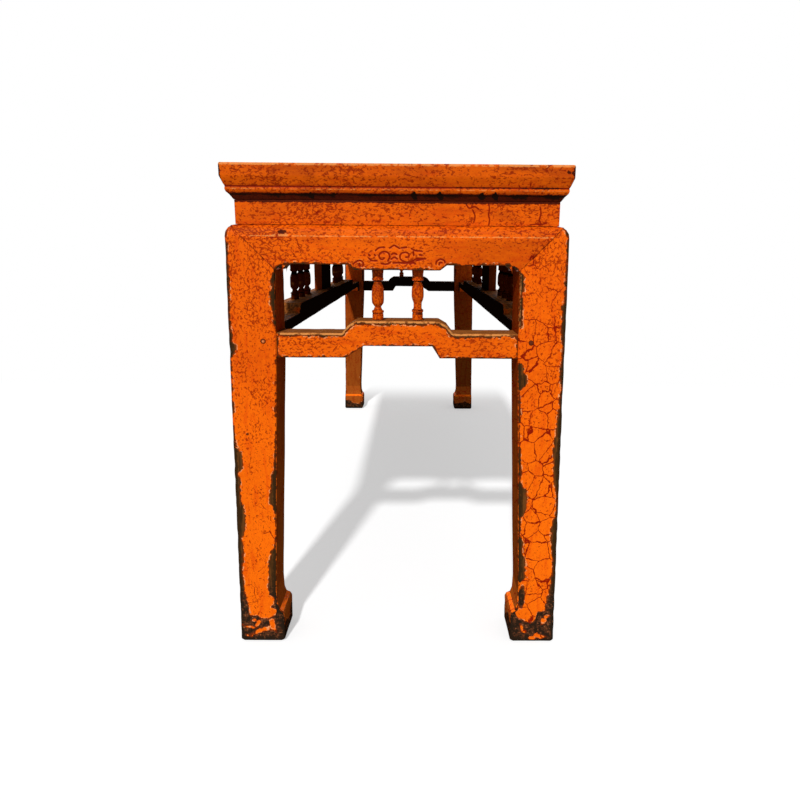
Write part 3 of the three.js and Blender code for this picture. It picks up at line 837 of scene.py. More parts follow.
def makeLeg(name, sideX, sideY, materials, seed):
    isFront = sideY < 0
    side = "right" if sideX > 0 else "left"
    low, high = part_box(name)
    details = []
    if isFront:
        details = [((low.x - 1, low.y - 1, -1), (high.x + 1, low.y + 2 * mm, legLook["fineBelow"]), 1)]
    spacing = legLook["spacing" if isFront else "rearSpacing"]
    member = Member(name, spacing, legLook["arris"], seed, details=details)
    height = member.points[:, 2] / mm
    roles = arrisRoles(member, sideX, sideY)
    farX, farY = roles[member.which].T
    width = readTable(legLook["other"], height)
    if isFront:
        inner, outer = [readTable(legLook[side + place], height) for place in ("Inner", "Outer")]
        width = np.where(farY, width, np.where(farX, inner, outer))
    worn = width - member.fromArris
    # nothing is worn where a stretcher is let in
    covered = (height > legLook["stretcherFrom"]) & (height < legLook["stretcherTo"])
    inside = (-sideX * member.normals[:, 0] > 0.5) | (-sideY * member.normals[:, 1] > 0.5)
    foot = np.where(inside, legLook["innerBare"], legLook["footBare"]) - height
    foot += legLook["footNoise"] * member.waves(55.0, 3)
    if isFront:
        facing = member.normals[:, 1] < -0.5
        foot = np.where(facing, frontFoot(member, side, sideX), foot)
        worn = addPatches(member, side, np.maximum(worn, foot), facing)
    else:
        worn = np.maximum(worn, foot)
    # the inward faces are bare along their arrises
    inward = np.where(covered, -3, readTable(legLook["inward"], height)) - member.fromArris
    member.values["worn"] = np.where(inside, np.maximum(inward, foot), worn)
    # painted highlights along arrises: the slanting ones of the hoof, and the front right leg's inner one
    slantLow, slantHigh = legLook["slantHeights"]
    slant = [abs(a[2] - b[2]) < 0.97 * math.dist(a, b) and slantLow < (a[2] + b[2]) / 2 < slantHigh
             for a, b in member.arrises]
    paintedHighlight = np.where(np.array(slant)[member.which], 0.6, -4.0)
    if isFront and side == "right":
        highlightLow, highlightHigh = legLook["highlightHeights"]
        paintedHighlight = np.where(farX & ~farY & (height > highlightLow) & (height < highlightHigh), 0.45, paintedHighlight)
    member.values["paintedHighlight"] = paintedHighlight - member.fromArris
    member.values["fine"] = readTable(legLook["fine"][side], height)
    member.values["net"] = readTable(legLook["net"][side], height)
    # the far legs are seen on their faces toward the camera
    seen = isFront | (member.normals[:, 1] < -0.5)
    shade = np.where(seen, readTable(legLook["shade"][side if isFront else "rear"], height), 0.0)
    flare = inside & (height < legLook["flareTop"])
    member.values["shade"] = np.where(flare, legLook["flareShade"][side], shade)
    member.inward = [(-sideX, 0, 0), (0, -sideY, 0)]
    member.unevenness(legLook["uneven"])
    if isFront:
        squareUp(member, covered, roles)
    member.nicks(legLook["nicks"] * np.clip(height / 30, 0, 1))
    member.finish(materials, name + "_wood")


# Aprons; the scroll lines on the end aprons are in mm as x and height

apronLook = {
    "spacing": 3.5 * mm,
    "arris": 0.9 * mm,
    "uneven": 0.25 * mm,
    "nicks": 0.3 * mm,
    "under": 407.3 * mm,            # height of the lower edge beside the legs
    "legWidth": 47.0 * mm,
    "cornerRound": 8.0 * mm,
    "shoulder": 434.2,              # height of the slope's upper line
    "creaseShadeHeight": 444.4,
    "hiddenFrom": 19.5 * mm,
    "rightHalfDarkening": 0.17,
    "grooveHalf": 0.9,
    "grooveDepth": 0.6 * mm,
    "scrollArea": ((-50.0, 401.0), (50.0, 428.0)),
    "scroll": [
        [(-9.1, 411.0), (-7.4, 415.2), (-8.7, 418.4), (-12.2, 419.9), (-15.9, 418.8), (-17.6, 415.9),
         (-16.6, 413.2), (-14.2, 412.4), (-12.7, 413.9)],
        [(8.0, 414.6), (10.5, 414.9), (11.3, 416.8), (10.0, 418.6), (7.1, 419.2), (3.9, 418.2),
         (2.5, 415.3), (3.4, 412.4), (6.1, 410.8), (10.2, 409.8), (14.2, 410.7), (17.6, 413.0),
         (22.0, 413.6), (27.1, 413.3)],
        [(-5.5, 417.2), (-3.4, 418.4), (-0.6, 417.2)],
        [(-6.0, 412.7), (-3.0, 414.5), (0.1, 412.9)],
        [(-27.4, 417.0), (-26.2, 415.8)],
        [(-22.0, 416.9), (-21.1, 416.1)],
        [(15.4, 419.5), (15.7, 416.5)],
        [(21.1, 417.0), (23.3, 416.8)],
        [(-20.9, 420.6), (-18.2, 423.1), (-14.2, 423.8), (-12.2, 423.6)],
        [(-7.4, 423.1), (-3.4, 425.6), (-0.6, 424.4), (2.1, 422.8)],
        [(3.7, 423.3), (8.7, 424.1)],
        [(13.5, 422.7), (17.5, 420.9), (23.6, 420.5)],
        [(-27.4, 413.5), (-24.7, 411.3), (-20.0, 411.1)],
        [(-15.2, 408.6), (-12.2, 407.8), (-9.1, 408.3), (-6.8, 409.7)],
        [(-4.1, 409.2), (0.7, 409.4), (6.8, 409.1), (10.5, 409.6)],
        [(12.2, 408.1), (15.2, 409.4), (17.6, 408.5)],
        [(18.3, 411.7), (22.0, 412.4), (24.4, 412.9)],
        [(-42.7, 407.8), (-39.6, 410.2), (-35.7, 411.2), (-33.0, 409.4), (-32.9, 406.8), (-34.9, 405.6),
         (-36.9, 406.7), (-36.4, 408.5)],
        [(37.2, 408.4), (37.9, 411.1), (41.3, 413.1), (45.0, 412.0), (46.1, 409.7)],
        [(40.3, 407.8), (40.8, 409.8), (43.0, 409.7)],
    ],
    # oval chip on the front shoulder
    "chip": {
        "place": (-110.4, 437.6),
        "half": (4.6, 2.1),
        "depth": 1.1 * mm,
        "area": ((-118.0, 433.0), (-103.0, 444.0)),
    },
}


# How far the apron's lower edge comes down beside a leg, by its distance from the leg
def cornerDrop(gap):
    size = apronLook["cornerRound"]
    flat = np.clip(size - gap, 0, size)
    return size - np.sqrt(size ** 2 - flat ** 2)


def cornerRounder(axis):
    def reshape(bm):
        bottom = apronLook["under"]
        under = [f for f in bm.faces
                 if f.normal.z < -0.9 and abs(f.calc_center_median().z - bottom) < 0.1 * mm]
        reach = max(abs(v.co[axis]) for f in under for v in f.verts)
        near = [f for f in under if reach - abs(f.calc_center_median()[axis]) < apronLook["cornerRound"]]
        made = bmesh.ops.extrude_face_region(bm, geom=near)["geom"]
        for item in made:
            if isinstance(item, bmesh.types.BMVert):
                item.co.z -= cornerDrop(reach - abs(item.co[axis]))
        bmesh.ops.remove_doubles(bm, verts=bm.verts, dist=meshLook["nearby"])
        bmesh.ops.recalc_face_normals(bm, faces=bm.faces)
    return reshape


# How far each point lies behind the piece's outermost face
def depthInside(member, outward):
    reach = member.points @ np.array(outward)
    return reach.max() - reach


def opposite(outward):
    return tuple(-v for v in outward)


# A box for refine, from an area given in mm as x and height
def areaBox(area, front, back):
    (left, bottom), (right, top) = area
    return (left * mm, front, bottom * mm), (right * mm, back, top * mm)


# A smooth run of short segments through the given points
def smoothLine(points, steps=4):
    rows = [np.array(p, float) for p in points]
    rows = [2 * rows[0] - rows[1]] + rows + [2 * rows[-1] - rows[-2]]
    line = []
    for a, b, c, d in zip(rows, rows[1:], rows[2:], rows[3:]):
        for step in range(steps):
            t = step / steps
            line.append(0.5 * (2 * b + (c - a) * t + (2 * a - 5 * b + 4 * c - d) * t * t
                               + (3 * b - a - 3 * c + d) * t ** 3))
    line.append(rows[-2])
    return list(zip(line, line[1:]))


# Distance in mm from smooth lines drawn on a front face, for the points that take part
def fromLines(member, lines, facing, turn=1):
    segments = [pair for line in lines for pair in smoothLine(line)]
    segments = [((turn * a[0], 0, a[1]), (turn * b[0], 0, b[1])) for a, b in segments]
    flat = member.points / mm
    flat[:, 1] = 0
    return np.where(facing, nearestArris(flat, segments)[0], meshLook["farInside"])


def carveScroll(member, sideY, facing):
    # the far end's scroll is turned to read the same from its own side
    gap = fromLines(member, apronLook["scroll"], facing, -sideY)
    member.widen("cut", apronLook["grooveHalf"] - gap)
    # painted highlight on the ridges beside the grooves
    member.widen("paintedHighlight", 0.15 - np.abs(gap - 1.25))
    member.sink(apronLook["grooveDepth"] * np.clip(1.2 - gap / apronLook["grooveHalf"], 0, 1))


# The chip on the shoulder, dark inside as dark wood and painted shade of the hollow, with a painted highlight
# on its lower lip, and a darker colour on the right half below it
def ageFrontApron(member, x, height):
    chip = apronLook["chip"]
    inside = oval(x, height, chip["place"] + chip["half"] + (0,))
    member.sink(chip["depth"] * np.clip(inside / 1.2, 0, 1))
    member.widen("grimeAndShade", inside - 0.2)
    member.widen("paintedHighlight", 0.6 - np.abs(inside + 0.5) - np.clip(height - chip["place"][1] + 1.0, 0, 3))
    # darker on the right half below the shoulder
    dull = rise(x, 20, 60) * np.clip((432 - height) / 3, 0, 1)
    member.values["shade"] -= apronLook["rightHalfDarkening"] * dull


def makeApron(name, outward, materials, seed):
    sideY = outward[1]
    low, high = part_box(name)
    details = []
    if sideY:
        face = low.y if sideY < 0 else high.y
        details.append(areaBox(apronLook["scrollArea"], face - 2 * mm, face + 2 * mm) + (4,))
    if sideY < 0:
        details.append(areaBox(apronLook["chip"]["area"], face - 1, face + 14 * mm) + (2,))
    axis = 0 if sideY else 1
    reach = high[axis] - apronLook["legWidth"]
    for sign in (-1, 1):
        start, end = [-1, -1, apronLook["under"] - 1 * mm], [1, 1, apronLook["under"] + 2 * mm]
        start[axis], end[axis] = sorted((sign * (reach - 10 * mm), sign * (reach + 1 * mm)))
        details.append((start, end, 2))
    member = Member(name, apronLook["spacing"], apronLook["arris"], seed, details=details,
                    reshape=cornerRounder(axis))
    values = member.values
    depth = depthInside(member, outward)
    x, y, height = (member.points / mm).T
    facing = member.normals @ np.array(outward) > 0.7
    # dark finish on the inner faces, also standing for painted shade
    values["dark"] = rise(depth, apronLook["hiddenFrom"], 1.0 * mm)
    edgeHeight = np.array([(a[2] + b[2]) / 2 for a, b in member.arrises]) / mm
    isLower = edgeHeight[member.which] < 425
    values["worn"] = np.where(isLower, 1.8, -3.0) - member.fromArris
    along = np.abs(x if sideY else y)
    reach = along[(height < 408) & (height > 406)].max()
    drop = cornerDrop((reach - along) * mm) / mm
    values["worn"] = np.where(isLower & (height > 407), values["worn"] - drop, values["worn"])
    # the reveal under the apron is bare wood
    under = (member.normals[:, 2] < -0.5) & (height < 410)
    values["worn"] = np.where(under & (depth > 1.2 * mm), 4.0, values["worn"])
    values["fine"] = 0.45 + 0.35 * member.waves(14.0)
    values["fine"] += rise(along, along.max() - 60, 60) * 0.4 + rise(height, 428, 8) * 0.3
    values["net"] += 0.05
    values["stain"] = rise(height, 425, 10) * 0.35 + 0.1
    # painted shade in the crease on the apron's top, where the waist stands
    member.widen("grimeAndShade", 0.2 - (apronLook["creaseShadeHeight"] - height))
    # painted highlight along the shoulder's arris, as a light line and a brighter shade; the slope above it
    # is shaded darker
    fromShoulder = np.abs(height - apronLook["shoulder"])
    values["paintedHighlight"] = 1.0 - fromShoulder
    values["shade"] = 0.16 * np.clip(1.3 - fromShoulder / 2.2, 0, 1) - 0.07 * rise(height, 430, 6)
    member.unevenness(apronLook["uneven"])
    if sideY:
        carveScroll(member, sideY, facing)
    if sideY < 0:
        ageFrontApron(member, x, height)
    member.inward = [opposite(outward)]
    member.nicks(apronLook["nicks"])
    member.finish(materials, name + "_board")


# Waist boards; the long cracks of the front one are in mm as x and height

waistLook = {
    "spacing": 3.5 * mm,
    "arris": 0.5 * mm,
    "uneven": 0.15 * mm,
    "shownTop": 467.5,
    "hiddenFrom": 10.0 * mm,
    "crackHalf": 0.75,
    "crackArea": ((60.0, 444.0), (150.0, 468.0)),
    "cracks": [
        [(87.0, 466.0), (88.2, 460.5), (87.4, 455.0), (88.6, 450.5), (87.8, 445.5)],
        [(137.0, 462.0), (137.8, 456.0), (136.6, 451.0), (138.4, 446.5)],
        [(127.6, 445.8), (133.0, 446.6), (138.4, 446.4), (144.0, 447.8)],
        [(66.0, 464.0), (68.6, 461.0), (74.0, 462.4), (78.0, 460.0)],
        [(72.0, 459.5), (74.5, 453.5), (73.4, 448.0)],
    ],
}


def makeWaist(name, outward, materials, seed):
    isFront = outward[1] < 0
    low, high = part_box(name)
    details = []
    if isFront:
        details.append(areaBox(waistLook["crackArea"], low.y - 1 * mm, low.y + 2 * mm) + (3,))
    member = Member(name, waistLook["spacing"], waistLook["arris"], seed, details=details)
    values = member.values
    depth = depthInside(member, outward)
    if isFront:
        values["cut"] = waistLook["crackHalf"] - fromLines(member, waistLook["cracks"], depth < 1 * mm)
    # dark finish on the inner faces, also standing for painted shade
    values["dark"] = rise(depth, waistLook["hiddenFrom"], 1.0 * mm)
    values["seam"] -= 0.4
    values["fine"] = 0.55 + 0.35 * member.waves(12.0)
    values["net"] += 0.05
    values["stain"] = 0.35 + 0.4 * member.waves(18.0, 2)
    # painted shadow under the top's overhang, along the waist's upper edge
    values["grimeAndShade"] = 2.6 - (waistLook["shownTop"] - member.points[:, 2] / mm)
    values["shade"] -= 0.08
    member.unevenness(waistLook["uneven"])
    member.inward = [opposite(outward)]
    member.finish(materials, name + "_board")


# Stretchers

stretcherLook = {
    "spacing": 3.0 * mm,
    "arris": 1.0 * mm,
    "topArris": 2.2 * mm,
    "uneven": 0.25 * mm,
    "nicks": 0.3 * mm,
    "topFrom": 22.0 * mm,           # arrises higher than this on the outer face are the rubbed ones
    "topWorn": 3.8,
    "usualWorn": 1.3,
    "topHighlight": 2.1,
    "rubbedMiddle": 10.0,
    "hiddenFrom": 34.0,
}


def makeStretcher(name, outward, materials, seed):
    low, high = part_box(name)
    direction = Vector(outward)
    outer = max(low.dot(direction), high.dot(direction))

    def isTopFront(start, end):
        middle = (Vector(start) + Vector(end)) / 2
        return middle.z > low.z + stretcherLook["topFrom"] and abs(middle.dot(direction) - outer) < 0.5 * mm

    def arris(edge):
        onTop = isTopFront(edge.verts[0].co, edge.verts[1].co)
        return stretcherLook["topArris"] if onTop else stretcherLook["arris"]

    member = Member(name, stretcherLook["spacing"], arris, seed)
    values = member.values
    depth = depthInside(member, outward) / mm
    onTop = np.array([isTopFront(a, b) for a, b in member.arrises])[member.which]
    fromMiddle = np.abs(depth - stretcherLook["rubbedMiddle"])
    values["rubbedAndSheen"] = np.clip(member.normals[:, 2], 0, 1) * np.clip(1.3 - fromMiddle / 30, 0, 1)
    # dark finish on the inner faces, also standing for painted shade
    values["dark"] = rise(depth, stretcherLook["hiddenFrom"], 1.0)
    along = np.abs(member.points[:, 0 if outward[1] else 1]) / mm
    atEnd = 5 * np.clip(1 - (along.max() - along) / 4, 0, 1)
    worn = np.where(onTop, stretcherLook["topWorn"], stretcherLook["usualWorn"])
    values["worn"] = worn - member.fromArris - atEnd
    # painted highlight along the rounded top arris
    values["paintedHighlight"] = np.where(onTop, stretcherLook["topHighlight"], -4) - member.fromArris
    values["seam"] -= 0.3
    values["fine"] = 0.55 + 0.3 * member.waves(14.0)
    values["net"] += 0.05
    values["stain"] += 0.15
    member.inward = [opposite(outward), (0, 0, -1)]
    member.unevenness(stretcherLook["uneven"])
    member.nicks(stretcherLook["nicks"])
    member.finish(materials, name + "_rail")


# Top frame; heights are mm below the top, lumps in the painted shadow under the bead are x and half width

topLook = {
    "spacing": 3.5 * mm,
    "arris": 0.8 * mm,
    "uneven": 0.2 * mm,
    "nicks": 0.3 * mm,
    "moulding": (19.0 * mm, 30.0 * mm),
    "bead": (20.0, 24.0),
    "beadFoot": 28.2,
    "undercutShadeFrom": 26.6,
    "hiddenFrom": 13.0,
    "grooveHalf": 0.9,
    "shade": -0.16,
    "shadowLumps": [(15.6, 3.6), (40.0, 3.6), (80.0, 3.4), (92.6, 3.6), (-82.0, 2.6), (-60.0, 2.4), (122.0, 2.4)],
    "spot": (160.5, 6.5, 2.4),      # x, mm below the top, radius
}


def makeTopRail(name, outward, materials, seed):
    isFront = outward[1] < 0
    low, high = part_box(name)
    details = []
    if isFront:
        upper, lower = topLook["moulding"]
        details.append(((-0.16, low.y - 1 * mm, high.z - lower), (0.16, low.y + 6 * mm, high.z - upper), 1))
    member = Member(name, topLook["spacing"], topLook["arris"], seed, details=details)
    values = member.values
    x = member.points[:, 0] / mm
    up = member.normals[:, 2]
    depth = depthInside(member, outward) / mm
    top = member.points[:, 2].max() / mm
    below = top - member.points[:, 2] / mm
    foot = np.abs(below - topLook["beadFoot"])
    # painted shadow in a ragged line under the bead, widened at the lumps
    beadShadow = 1.0 - foot + 1.2 * member.waves(60.0, 5)
    if isFront:
        for place, half in topLook["shadowLumps"]:
            beadShadow = np.maximum(beadShadow, 0.5 + half - np.abs(x - place) - foot * 0.9)
    # dark finish on the underside, also standing for painted shade
    darkFinishAndShadow = rise(depth, topLook["hiddenFrom"], 2) * (up < -0.5)
    values["dark"] = np.maximum(darkFinishAndShadow, np.clip(beadShadow, -3, 3))
    edgeBelow = top - np.array([(a[2] + b[2]) / 2 for a, b in member.arrises])[member.which] / mm
    beadHigh, beadLow = topLook["bead"]
    onBead = (edgeBelow > beadHigh) & (edgeBelow < beadLow)
    values["worn"] = -4.0 - member.fromArris
    # painted highlight along the top arris and the bead
    values["paintedHighlight"] = np.where(edgeBelow < 2, 1.3, np.where(onBead, 0.3, -4)) - member.fromArris
    values["fine"] = 0.55 + 0.35 * member.waves(12.0)
    values["net"] = np.where(up > 0.7, 0.3, 0.0)
    values["stain"] = 0.6 + 0.6 * member.waves(16.0, 4)
    groove = nearestArris(member.points, member.valleys)[0] / mm
    values["cut"] = topLook["grooveHalf"] - groove
    lengthwise = np.abs(member.points[:, 0 if outward[1] else 1]) / mm
    # painted shade on the undercut and in the groove, with dark streaks of dirt
    streaks = 0.1 - groove + 3.0 * wave(member.points * np.array([1, 1, 3]), 20.0, seed + 6)
    values["grimeAndShade"] = np.maximum(np.clip(below - topLook["undercutShadeFrom"], -50, 4) * 1.5, streaks)
    member.widen("grimeAndShade", lengthwise - lengthwise.max() + 1.1)
    if isFront:
        spotX, spotBelow, radius = topLook["spot"]
        member.widen("grimeAndShade", radius - np.hypot(x - spotX, below - spotBelow))
    values["shade"] += topLook["shade"]
    member.inward = [opposite(outward), (0, 0, -1)]
    member.unevenness(topLook["uneven"])
    member.nicks(topLook["nicks"])
    member.finish(materials, name + "_frame")


# Panel, worn thin in patches, and the dark pieces

panelLook = {
    "spacing": 6.0 * mm,
    "arris": 0.6 * mm,
    "uneven": 0.25 * mm,
    "seed": 31,
}


def makePanel(name, materials):
    member = Member(name, panelLook["spacing"], panelLook["arris"], panelLook["seed"])
    values = member.values
    # dark finish on the underside, also standing for painted shade
    values["dark"] = np.clip(-member.normals[:, 2], 0, 1)
    values["fine"] = 0.3 + 0.4 * member.waves(9.0)
    values["net"] = 0.4 + 0.5 * member.waves(5.0, 2)
    values["worn"] = -6 + 9 * member.waves(7.0, 4) + 3 * member.waves(30.0, 6)
    values["stain"] += 0.25
    member.inward = [(0, 0, -1)]
    member.unevenness(panelLook["uneven"])
    member.finish(materials, name + "_board")


darkLook = {
    "spacing": 6.0 * mm,
    "arris": 1.0 * mm,
    "uneven": 0.2 * mm,
    "shade": -0.35,
}


# Dark all over, as a dark finish that also stands for painted shade, but for the blocks' brown faces toward
# the ends
def makeDarkPiece(name, materials, newName, seed):
    member = Member(name, darkLook["spacing"], darkLook["arris"], seed)
    toEnd = (np.abs(member.normals[:, 1]) > 0.6) & ("block" in name)
    member.values["dark"] = np.where(toEnd, 0.0, 1.0)
    member.values["shade"] += darkLook["shade"]
    member.unevenness(darkLook["uneven"])
    # the inner look, painted darker as shade, stands first, as these pieces are seen on their matte side
    # alone
    member.finish(materials[::-1], newName)


# Turned struts; heights are shares between the shoulders, radii and half widths are in mm

strutLook = {
    "tenonRadius": 3.2 * mm,
    "tenonLength": 8.0 * mm,
    "steps": 40,
    "ringSpacing": 0.9 * mm,
    "usual": [(0.0, 5.6), (0.12, 5.5), (0.135, 5.0), (0.15, 5.9), (0.185, 5.9), (0.2, 4.4), (0.265, 3.1),
              (0.3, 4.4), (0.345, 5.8), (0.42, 6.1), (0.52, 6.1), (0.62, 5.9), (0.69, 5.0), (0.75, 3.8),
              (0.78, 3.8), (0.8, 5.6), (0.83, 5.8), (0.85, 5.4), (0.93, 5.5), (1.0, 5.9)],
    "strut_front_2": [(0.0, 5.3), (0.13, 5.3), (0.15, 4.9), (0.17, 5.7), (0.21, 5.7), (0.225, 4.4),
                      (0.26, 4.0), (0.35, 4.1), (0.42, 5.4), (0.48, 6.0), (0.58, 6.0), (0.66, 5.7),
                      (0.71, 4.8), (0.75, 3.9), (0.78, 3.9), (0.8, 5.6), (0.83, 5.8), (0.85, 5.4),
                      (0.93, 5.5), (1.0, 5.9)],
    "dark": [(0.0, 0.3), (0.13, 0.5), (0.21, 0.5), (0.785, 0.4)],
    "paintedHighlight": [(0.165, 0.3), (0.815, 0.5)],
    "endShade": 0.14,
    "sideShade": 0.72,
    "neckShade": 0.45,
    "neck": 0.73,
    "belly": 0.45,
}


# Spins an outline of radius and height into a solid
def spinOutline(outline):
    bm = bmesh.new()
    points = [bm.verts.new((radius, 0, z)) for radius, z in outline]
    for pair in zip(points, points[1:]):
        bm.edges.new(pair)
    for edge in list(bm.edges):
        cuts = max(0, int(edge.calc_length() / strutLook["ringSpacing"]) - 1)
        if cuts and edge.verts[0].co.x > 0 and edge.verts[1].co.x > 0:
            bmesh.ops.subdivide_edges(bm, edges=[edge], cuts=cuts)
    bmesh.ops.spin(bm, geom=bm.verts[:] + bm.edges[:], cent=(0, 0, 0), axis=(0, 0, 1), angle=2 * math.pi,
                   steps=strutLook["steps"], use_merge=True)
    bmesh.ops.remove_doubles(bm, verts=bm.verts, dist=meshLook["weld"])
    bmesh.ops.recalc_face_normals(bm, faces=bm.faces)
    return bm


def makeStrut(name, materials):
    low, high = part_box(name)
    centre = (low + high) / 2
    bottom = low.z + strutLook["tenonLength"]
    top = high.z - strutLook["tenonLength"]
    tenon = strutLook["tenonRadius"]
    outline = [(0, low.z), (tenon, low.z), (tenon, bottom)]
    for heightShare, radius in strutLook.get(name, strutLook["usual"]):
        outline.append((radius * mm, bottom + (top - bottom) * heightShare))
    outline += [(tenon, top), (tenon, high.z), (0, high.z)]
    bm = spinOutline(outline)
    bmesh.ops.translate(bm, verts=bm.verts, vec=(centre.x, centre.y, 0))
    bm.normal_update()
    markCreases(bm)
    mesh = meshFrom(bm, name + "_turned")
    share = (np.array([v.co.z for v in mesh.vertices]) - bottom) / (top - bottom)
    reach = (top - bottom) / mm
    isEnd = "_front_" in name or "_rear_" in name
    values = plainValues(len(share))
    values["edge"] += meshLook["farInside"]
    # painted shade lines in the turning's hollows, and painted highlight rings
    for key, bands in (("grimeAndShade", strutLook["dark"]), ("paintedHighlight", strutLook["paintedHighlight"])):
        values[key] = np.max([half - np.abs(share - at) * reach for at, half in bands], axis=0)
    values["fine"] += 1.0
    values["stain"] += 0.4
    # painted sheen on the belly
    values["rubbedAndSheen"] += 0.36 * np.clip(1 - np.abs(share - strutLook["belly"]) / 0.25, 0, 1)
    values["shade"] -= strutLook["endShade" if isEnd else "sideShade"]
    values["shade"] -= strutLook["neckShade"] * np.clip(1 - np.abs(share - strutLook["neck"]) / 0.06, 0, 1)
    storeValues(mesh, values)
    # the side struts take the inner look, painted darker as shade
    piece = makePiece(mesh, materials[:1] if isEnd else materials[1:])
    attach(piece, "root")
    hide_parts(name)


# Pegs, light end grain inside a dark ring

pegLook = {
    "brown": (196, 92, 36),
    "light": (232, 150, 92),
    "ring": (96, 38, 12),
    "roughness": 0.7,
    "specular": 0.1,
    "arris": 0.4 * mm,
    "allDark": "peg_front_right_end",
}


def pegMaterial():
    material, tree, shader = newMaterial("pegWood")
    grain = spots(objectPlace(tree), 900.0, 3.0)
    ring = ((grain - 0.5) * 0.6 + stored(tree, "ring")).fade(0.5, 0.75)
    colour = mixColour(grain.fade(0.35, 0.65), paint(*pegLook["brown"]), paint(*pegLook["light"]))
    wire(mixColour(ring, colour, paint(*pegLook["ring"])), shader.inputs["Base Color"])
    shader.inputs["Roughness"].default_value = pegLook["roughness"]
    shader.inputs["Specular IOR Level"].default_value = pegLook["specular"]
    wire(addBump(grain, 0.0002, 0.5), shader.inputs["Normal"])
    return material


def makePeg(name, material):
    bm = copyNode(name)
    edges = [e for e in bm.edges if e.is_manifold and e.calc_face_angle() > math.radians(60)]
    softenArrises(bm, edges, pegLook["arris"], 2)
    bmesh.ops.poke(bm, faces=[face for face in bm.faces if len(face.verts) > 6])
    for face in bm.faces:
        face.smooth = True
    mesh = meshFrom(bm, name + "_pin")
    low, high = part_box(name)
    centre = np.array((low + high) / 2)
    size = np.array(high - low)
    # the ring is measured across the peg, which is driven in along y at the ends and along x at the sides
    across = [axis for axis in range(3) if axis != (1 if name.endswith("_end") else 0)]
    places = np.array([v.co for v in mesh.vertices])
    ring = np.linalg.norm((places - centre)[:, across], axis=1) / (size[across].max() / 2)
    storeValues(mesh, {"ring": ring + (1.0 if name == pegLook["allDark"] else 0.0)})
    piece = makePiece(mesh, [material])
    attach(piece, "root")
    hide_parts(name)


# Floor, world and lamp

light = {
    "direction": (0.24, 1.28, -1.0),
    "lampPlace": (-0.6, -3.0, 2.5),
    "sun": 2.75,
    "sunWidth": 3.2,
    "world": 0.30,
    "floorSize": 40,
    "floorGrey": 0.35,      # what lights the bench from below
    "floorSeen": 0.76,      # what the camera sees
    "floorLift": 0.45,
    "fadeStart": 0.58,      # the seen floor turns white between these places along y
    "fadeEnd": 0.86,
}
white = (1, 1, 1, 1)


def seenRay(tree):
    path = addNode(tree, "LightPath")
    camera, glossy, through = [Value(tree, path.outputs["Is %s Ray" % kind])
                               for kind in ("Camera", "Glossy", "Transmission")]
    return camera.larger(glossy).larger(through)


def diffuse(tree, grey):
    node = addNode(tree, "BsdfDiffuse")
    node.inputs["Color"].default_value = (grey, grey, grey, 1)
    return Value(tree, node.outputs[0])


def emission(tree, strength):
    node = addNode(tree, "Emission")
    node.inputs["Color"].default_value = white
    node.inputs["Strength"].default_value = strength
    return Value(tree, node.outputs[0])


def mixShader(share, first, second):
    node = addNode(share.tree, "MixShader")
    for value, socket in zip((share, first, second), node.inputs):
        wire(value, socket)
    return Value(share.tree, node.outputs[0])


def floorMaterial():
    material = bpy.data.materials.new("studioFloor")
    material.use_nodes = True
    tree = material.node_tree
    tree.nodes.clear()
    lifted = addNode(tree, "AddShader")
    wire(diffuse(tree, light["floorSeen"]), lifted.inputs[0])
    wire(emission(tree, light["floorLift"]), lifted.inputs[1])
    farOff = oneAxis(objectPlace(tree), "Y").fade(light["fadeStart"], light["fadeEnd"])
    seen = mixShader(farOff, Value(tree, lifted.outputs[0]), emission(tree, 1.0))
    output = addNode(tree, "OutputMaterial")
    wire(mixShader(seenRay(tree), diffuse(tree, light["floorGrey"]), seen), output.inputs["Surface"])
    return material


def makeFloor():
    bm = bmesh.new()
    bmesh.ops.create_grid(bm, x_segments=2, y_segments=2, size=light["floorSize"])
    floor = showInScene("studioFloor", meshFrom(bm, "studioFloor"))
    floor.data.materials.append(floorMaterial())


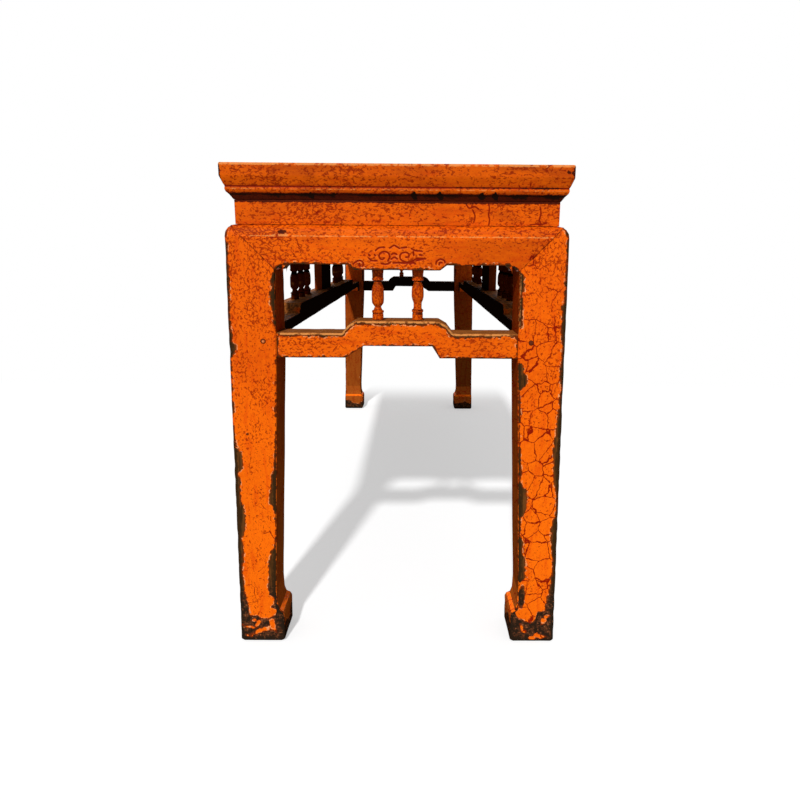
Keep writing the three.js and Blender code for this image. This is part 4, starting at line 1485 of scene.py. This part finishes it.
def makeLight():
    world = bpy.data.worlds.new("studio")
    bpy.context.scene.world = world
    world.use_nodes = True
    tree = world.node_tree
    background = tree.nodes["Background"]
    background.inputs["Color"].default_value = white
    wire(seenRay(tree) * (1 - light["world"]) + light["world"], background.inputs["Strength"])
    data = bpy.data.lights.new("keyLight", "SUN")
    data.energy = light["sun"]
    data.angle = math.radians(light["sunWidth"])
    lamp = showInScene("keyLight", data)
    aim = Vector(light["direction"]).to_track_quat("-Z", "Y").to_matrix().to_4x4()
    lamp.matrix_world = Matrix.Translation(light["lampPlace"]) @ aim


def makeBench():
    upright = lacquerPair("lacquerUpright", 2)
    across = lacquerPair("lacquerAcross", 0)
    lengthwise = lacquerPair("lacquerLengthwise", 1)
    sides = {
        "front": ((0, -1, 0), across),
        "rear": ((0, 1, 0), across),
        "left": ((-1, 0, 0), lengthwise),
        "right": ((1, 0, 0), lengthwise),
    }
    ways = {"front": -1, "rear": 1, "left": -1, "right": 1}
    corners = [(end, side) for end in ("front", "rear") for side in ("left", "right")]
    for index, (end, side) in enumerate(corners):
        makeLeg("leg_%s_%s" % (end, side), ways[side], ways[end], upright, 1 + index)
    print("legs made")
    for index, (side, (outward, materials)) in enumerate(sides.items()):
        makeApron("apron_" + side, outward, materials, 11 + index)
        makeWaist("waist_" + side, outward, materials, 21 + index)
        makeStretcher("stretcher_" + side, outward, materials, 41 + index)
        kind = "end" if side in ("front", "rear") else "long"
        makeTopRail("top_%s_rail_%s" % (kind, side), outward, materials, 51 + index)
    print("aprons, waist, stretchers and top frame made")
    makePanel("top_panel", lengthwise)
    for index in range(3):
        makeDarkPiece("panel_batten_%d" % (index + 1), across, "batten_%d" % (index + 1), 61 + index)
    for index, side in enumerate(("left", "right")):
        makeDarkPiece("centre_block_" + side, lengthwise, "block_" + side, 71 + index)
    for name in sorted(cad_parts):
        if name.startswith("strut_"):
            makeStrut(name, upright)
    pegs = pegMaterial()
    for name in sorted(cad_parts):
        if name.startswith("peg_"):
            makePeg(name, pegs)
    print("panel, battens, struts and pegs made")


makeCamera()
makeFloor()
makeLight()
makeBench()
bpy.context.scene.view_settings.view_transform = "Standard"
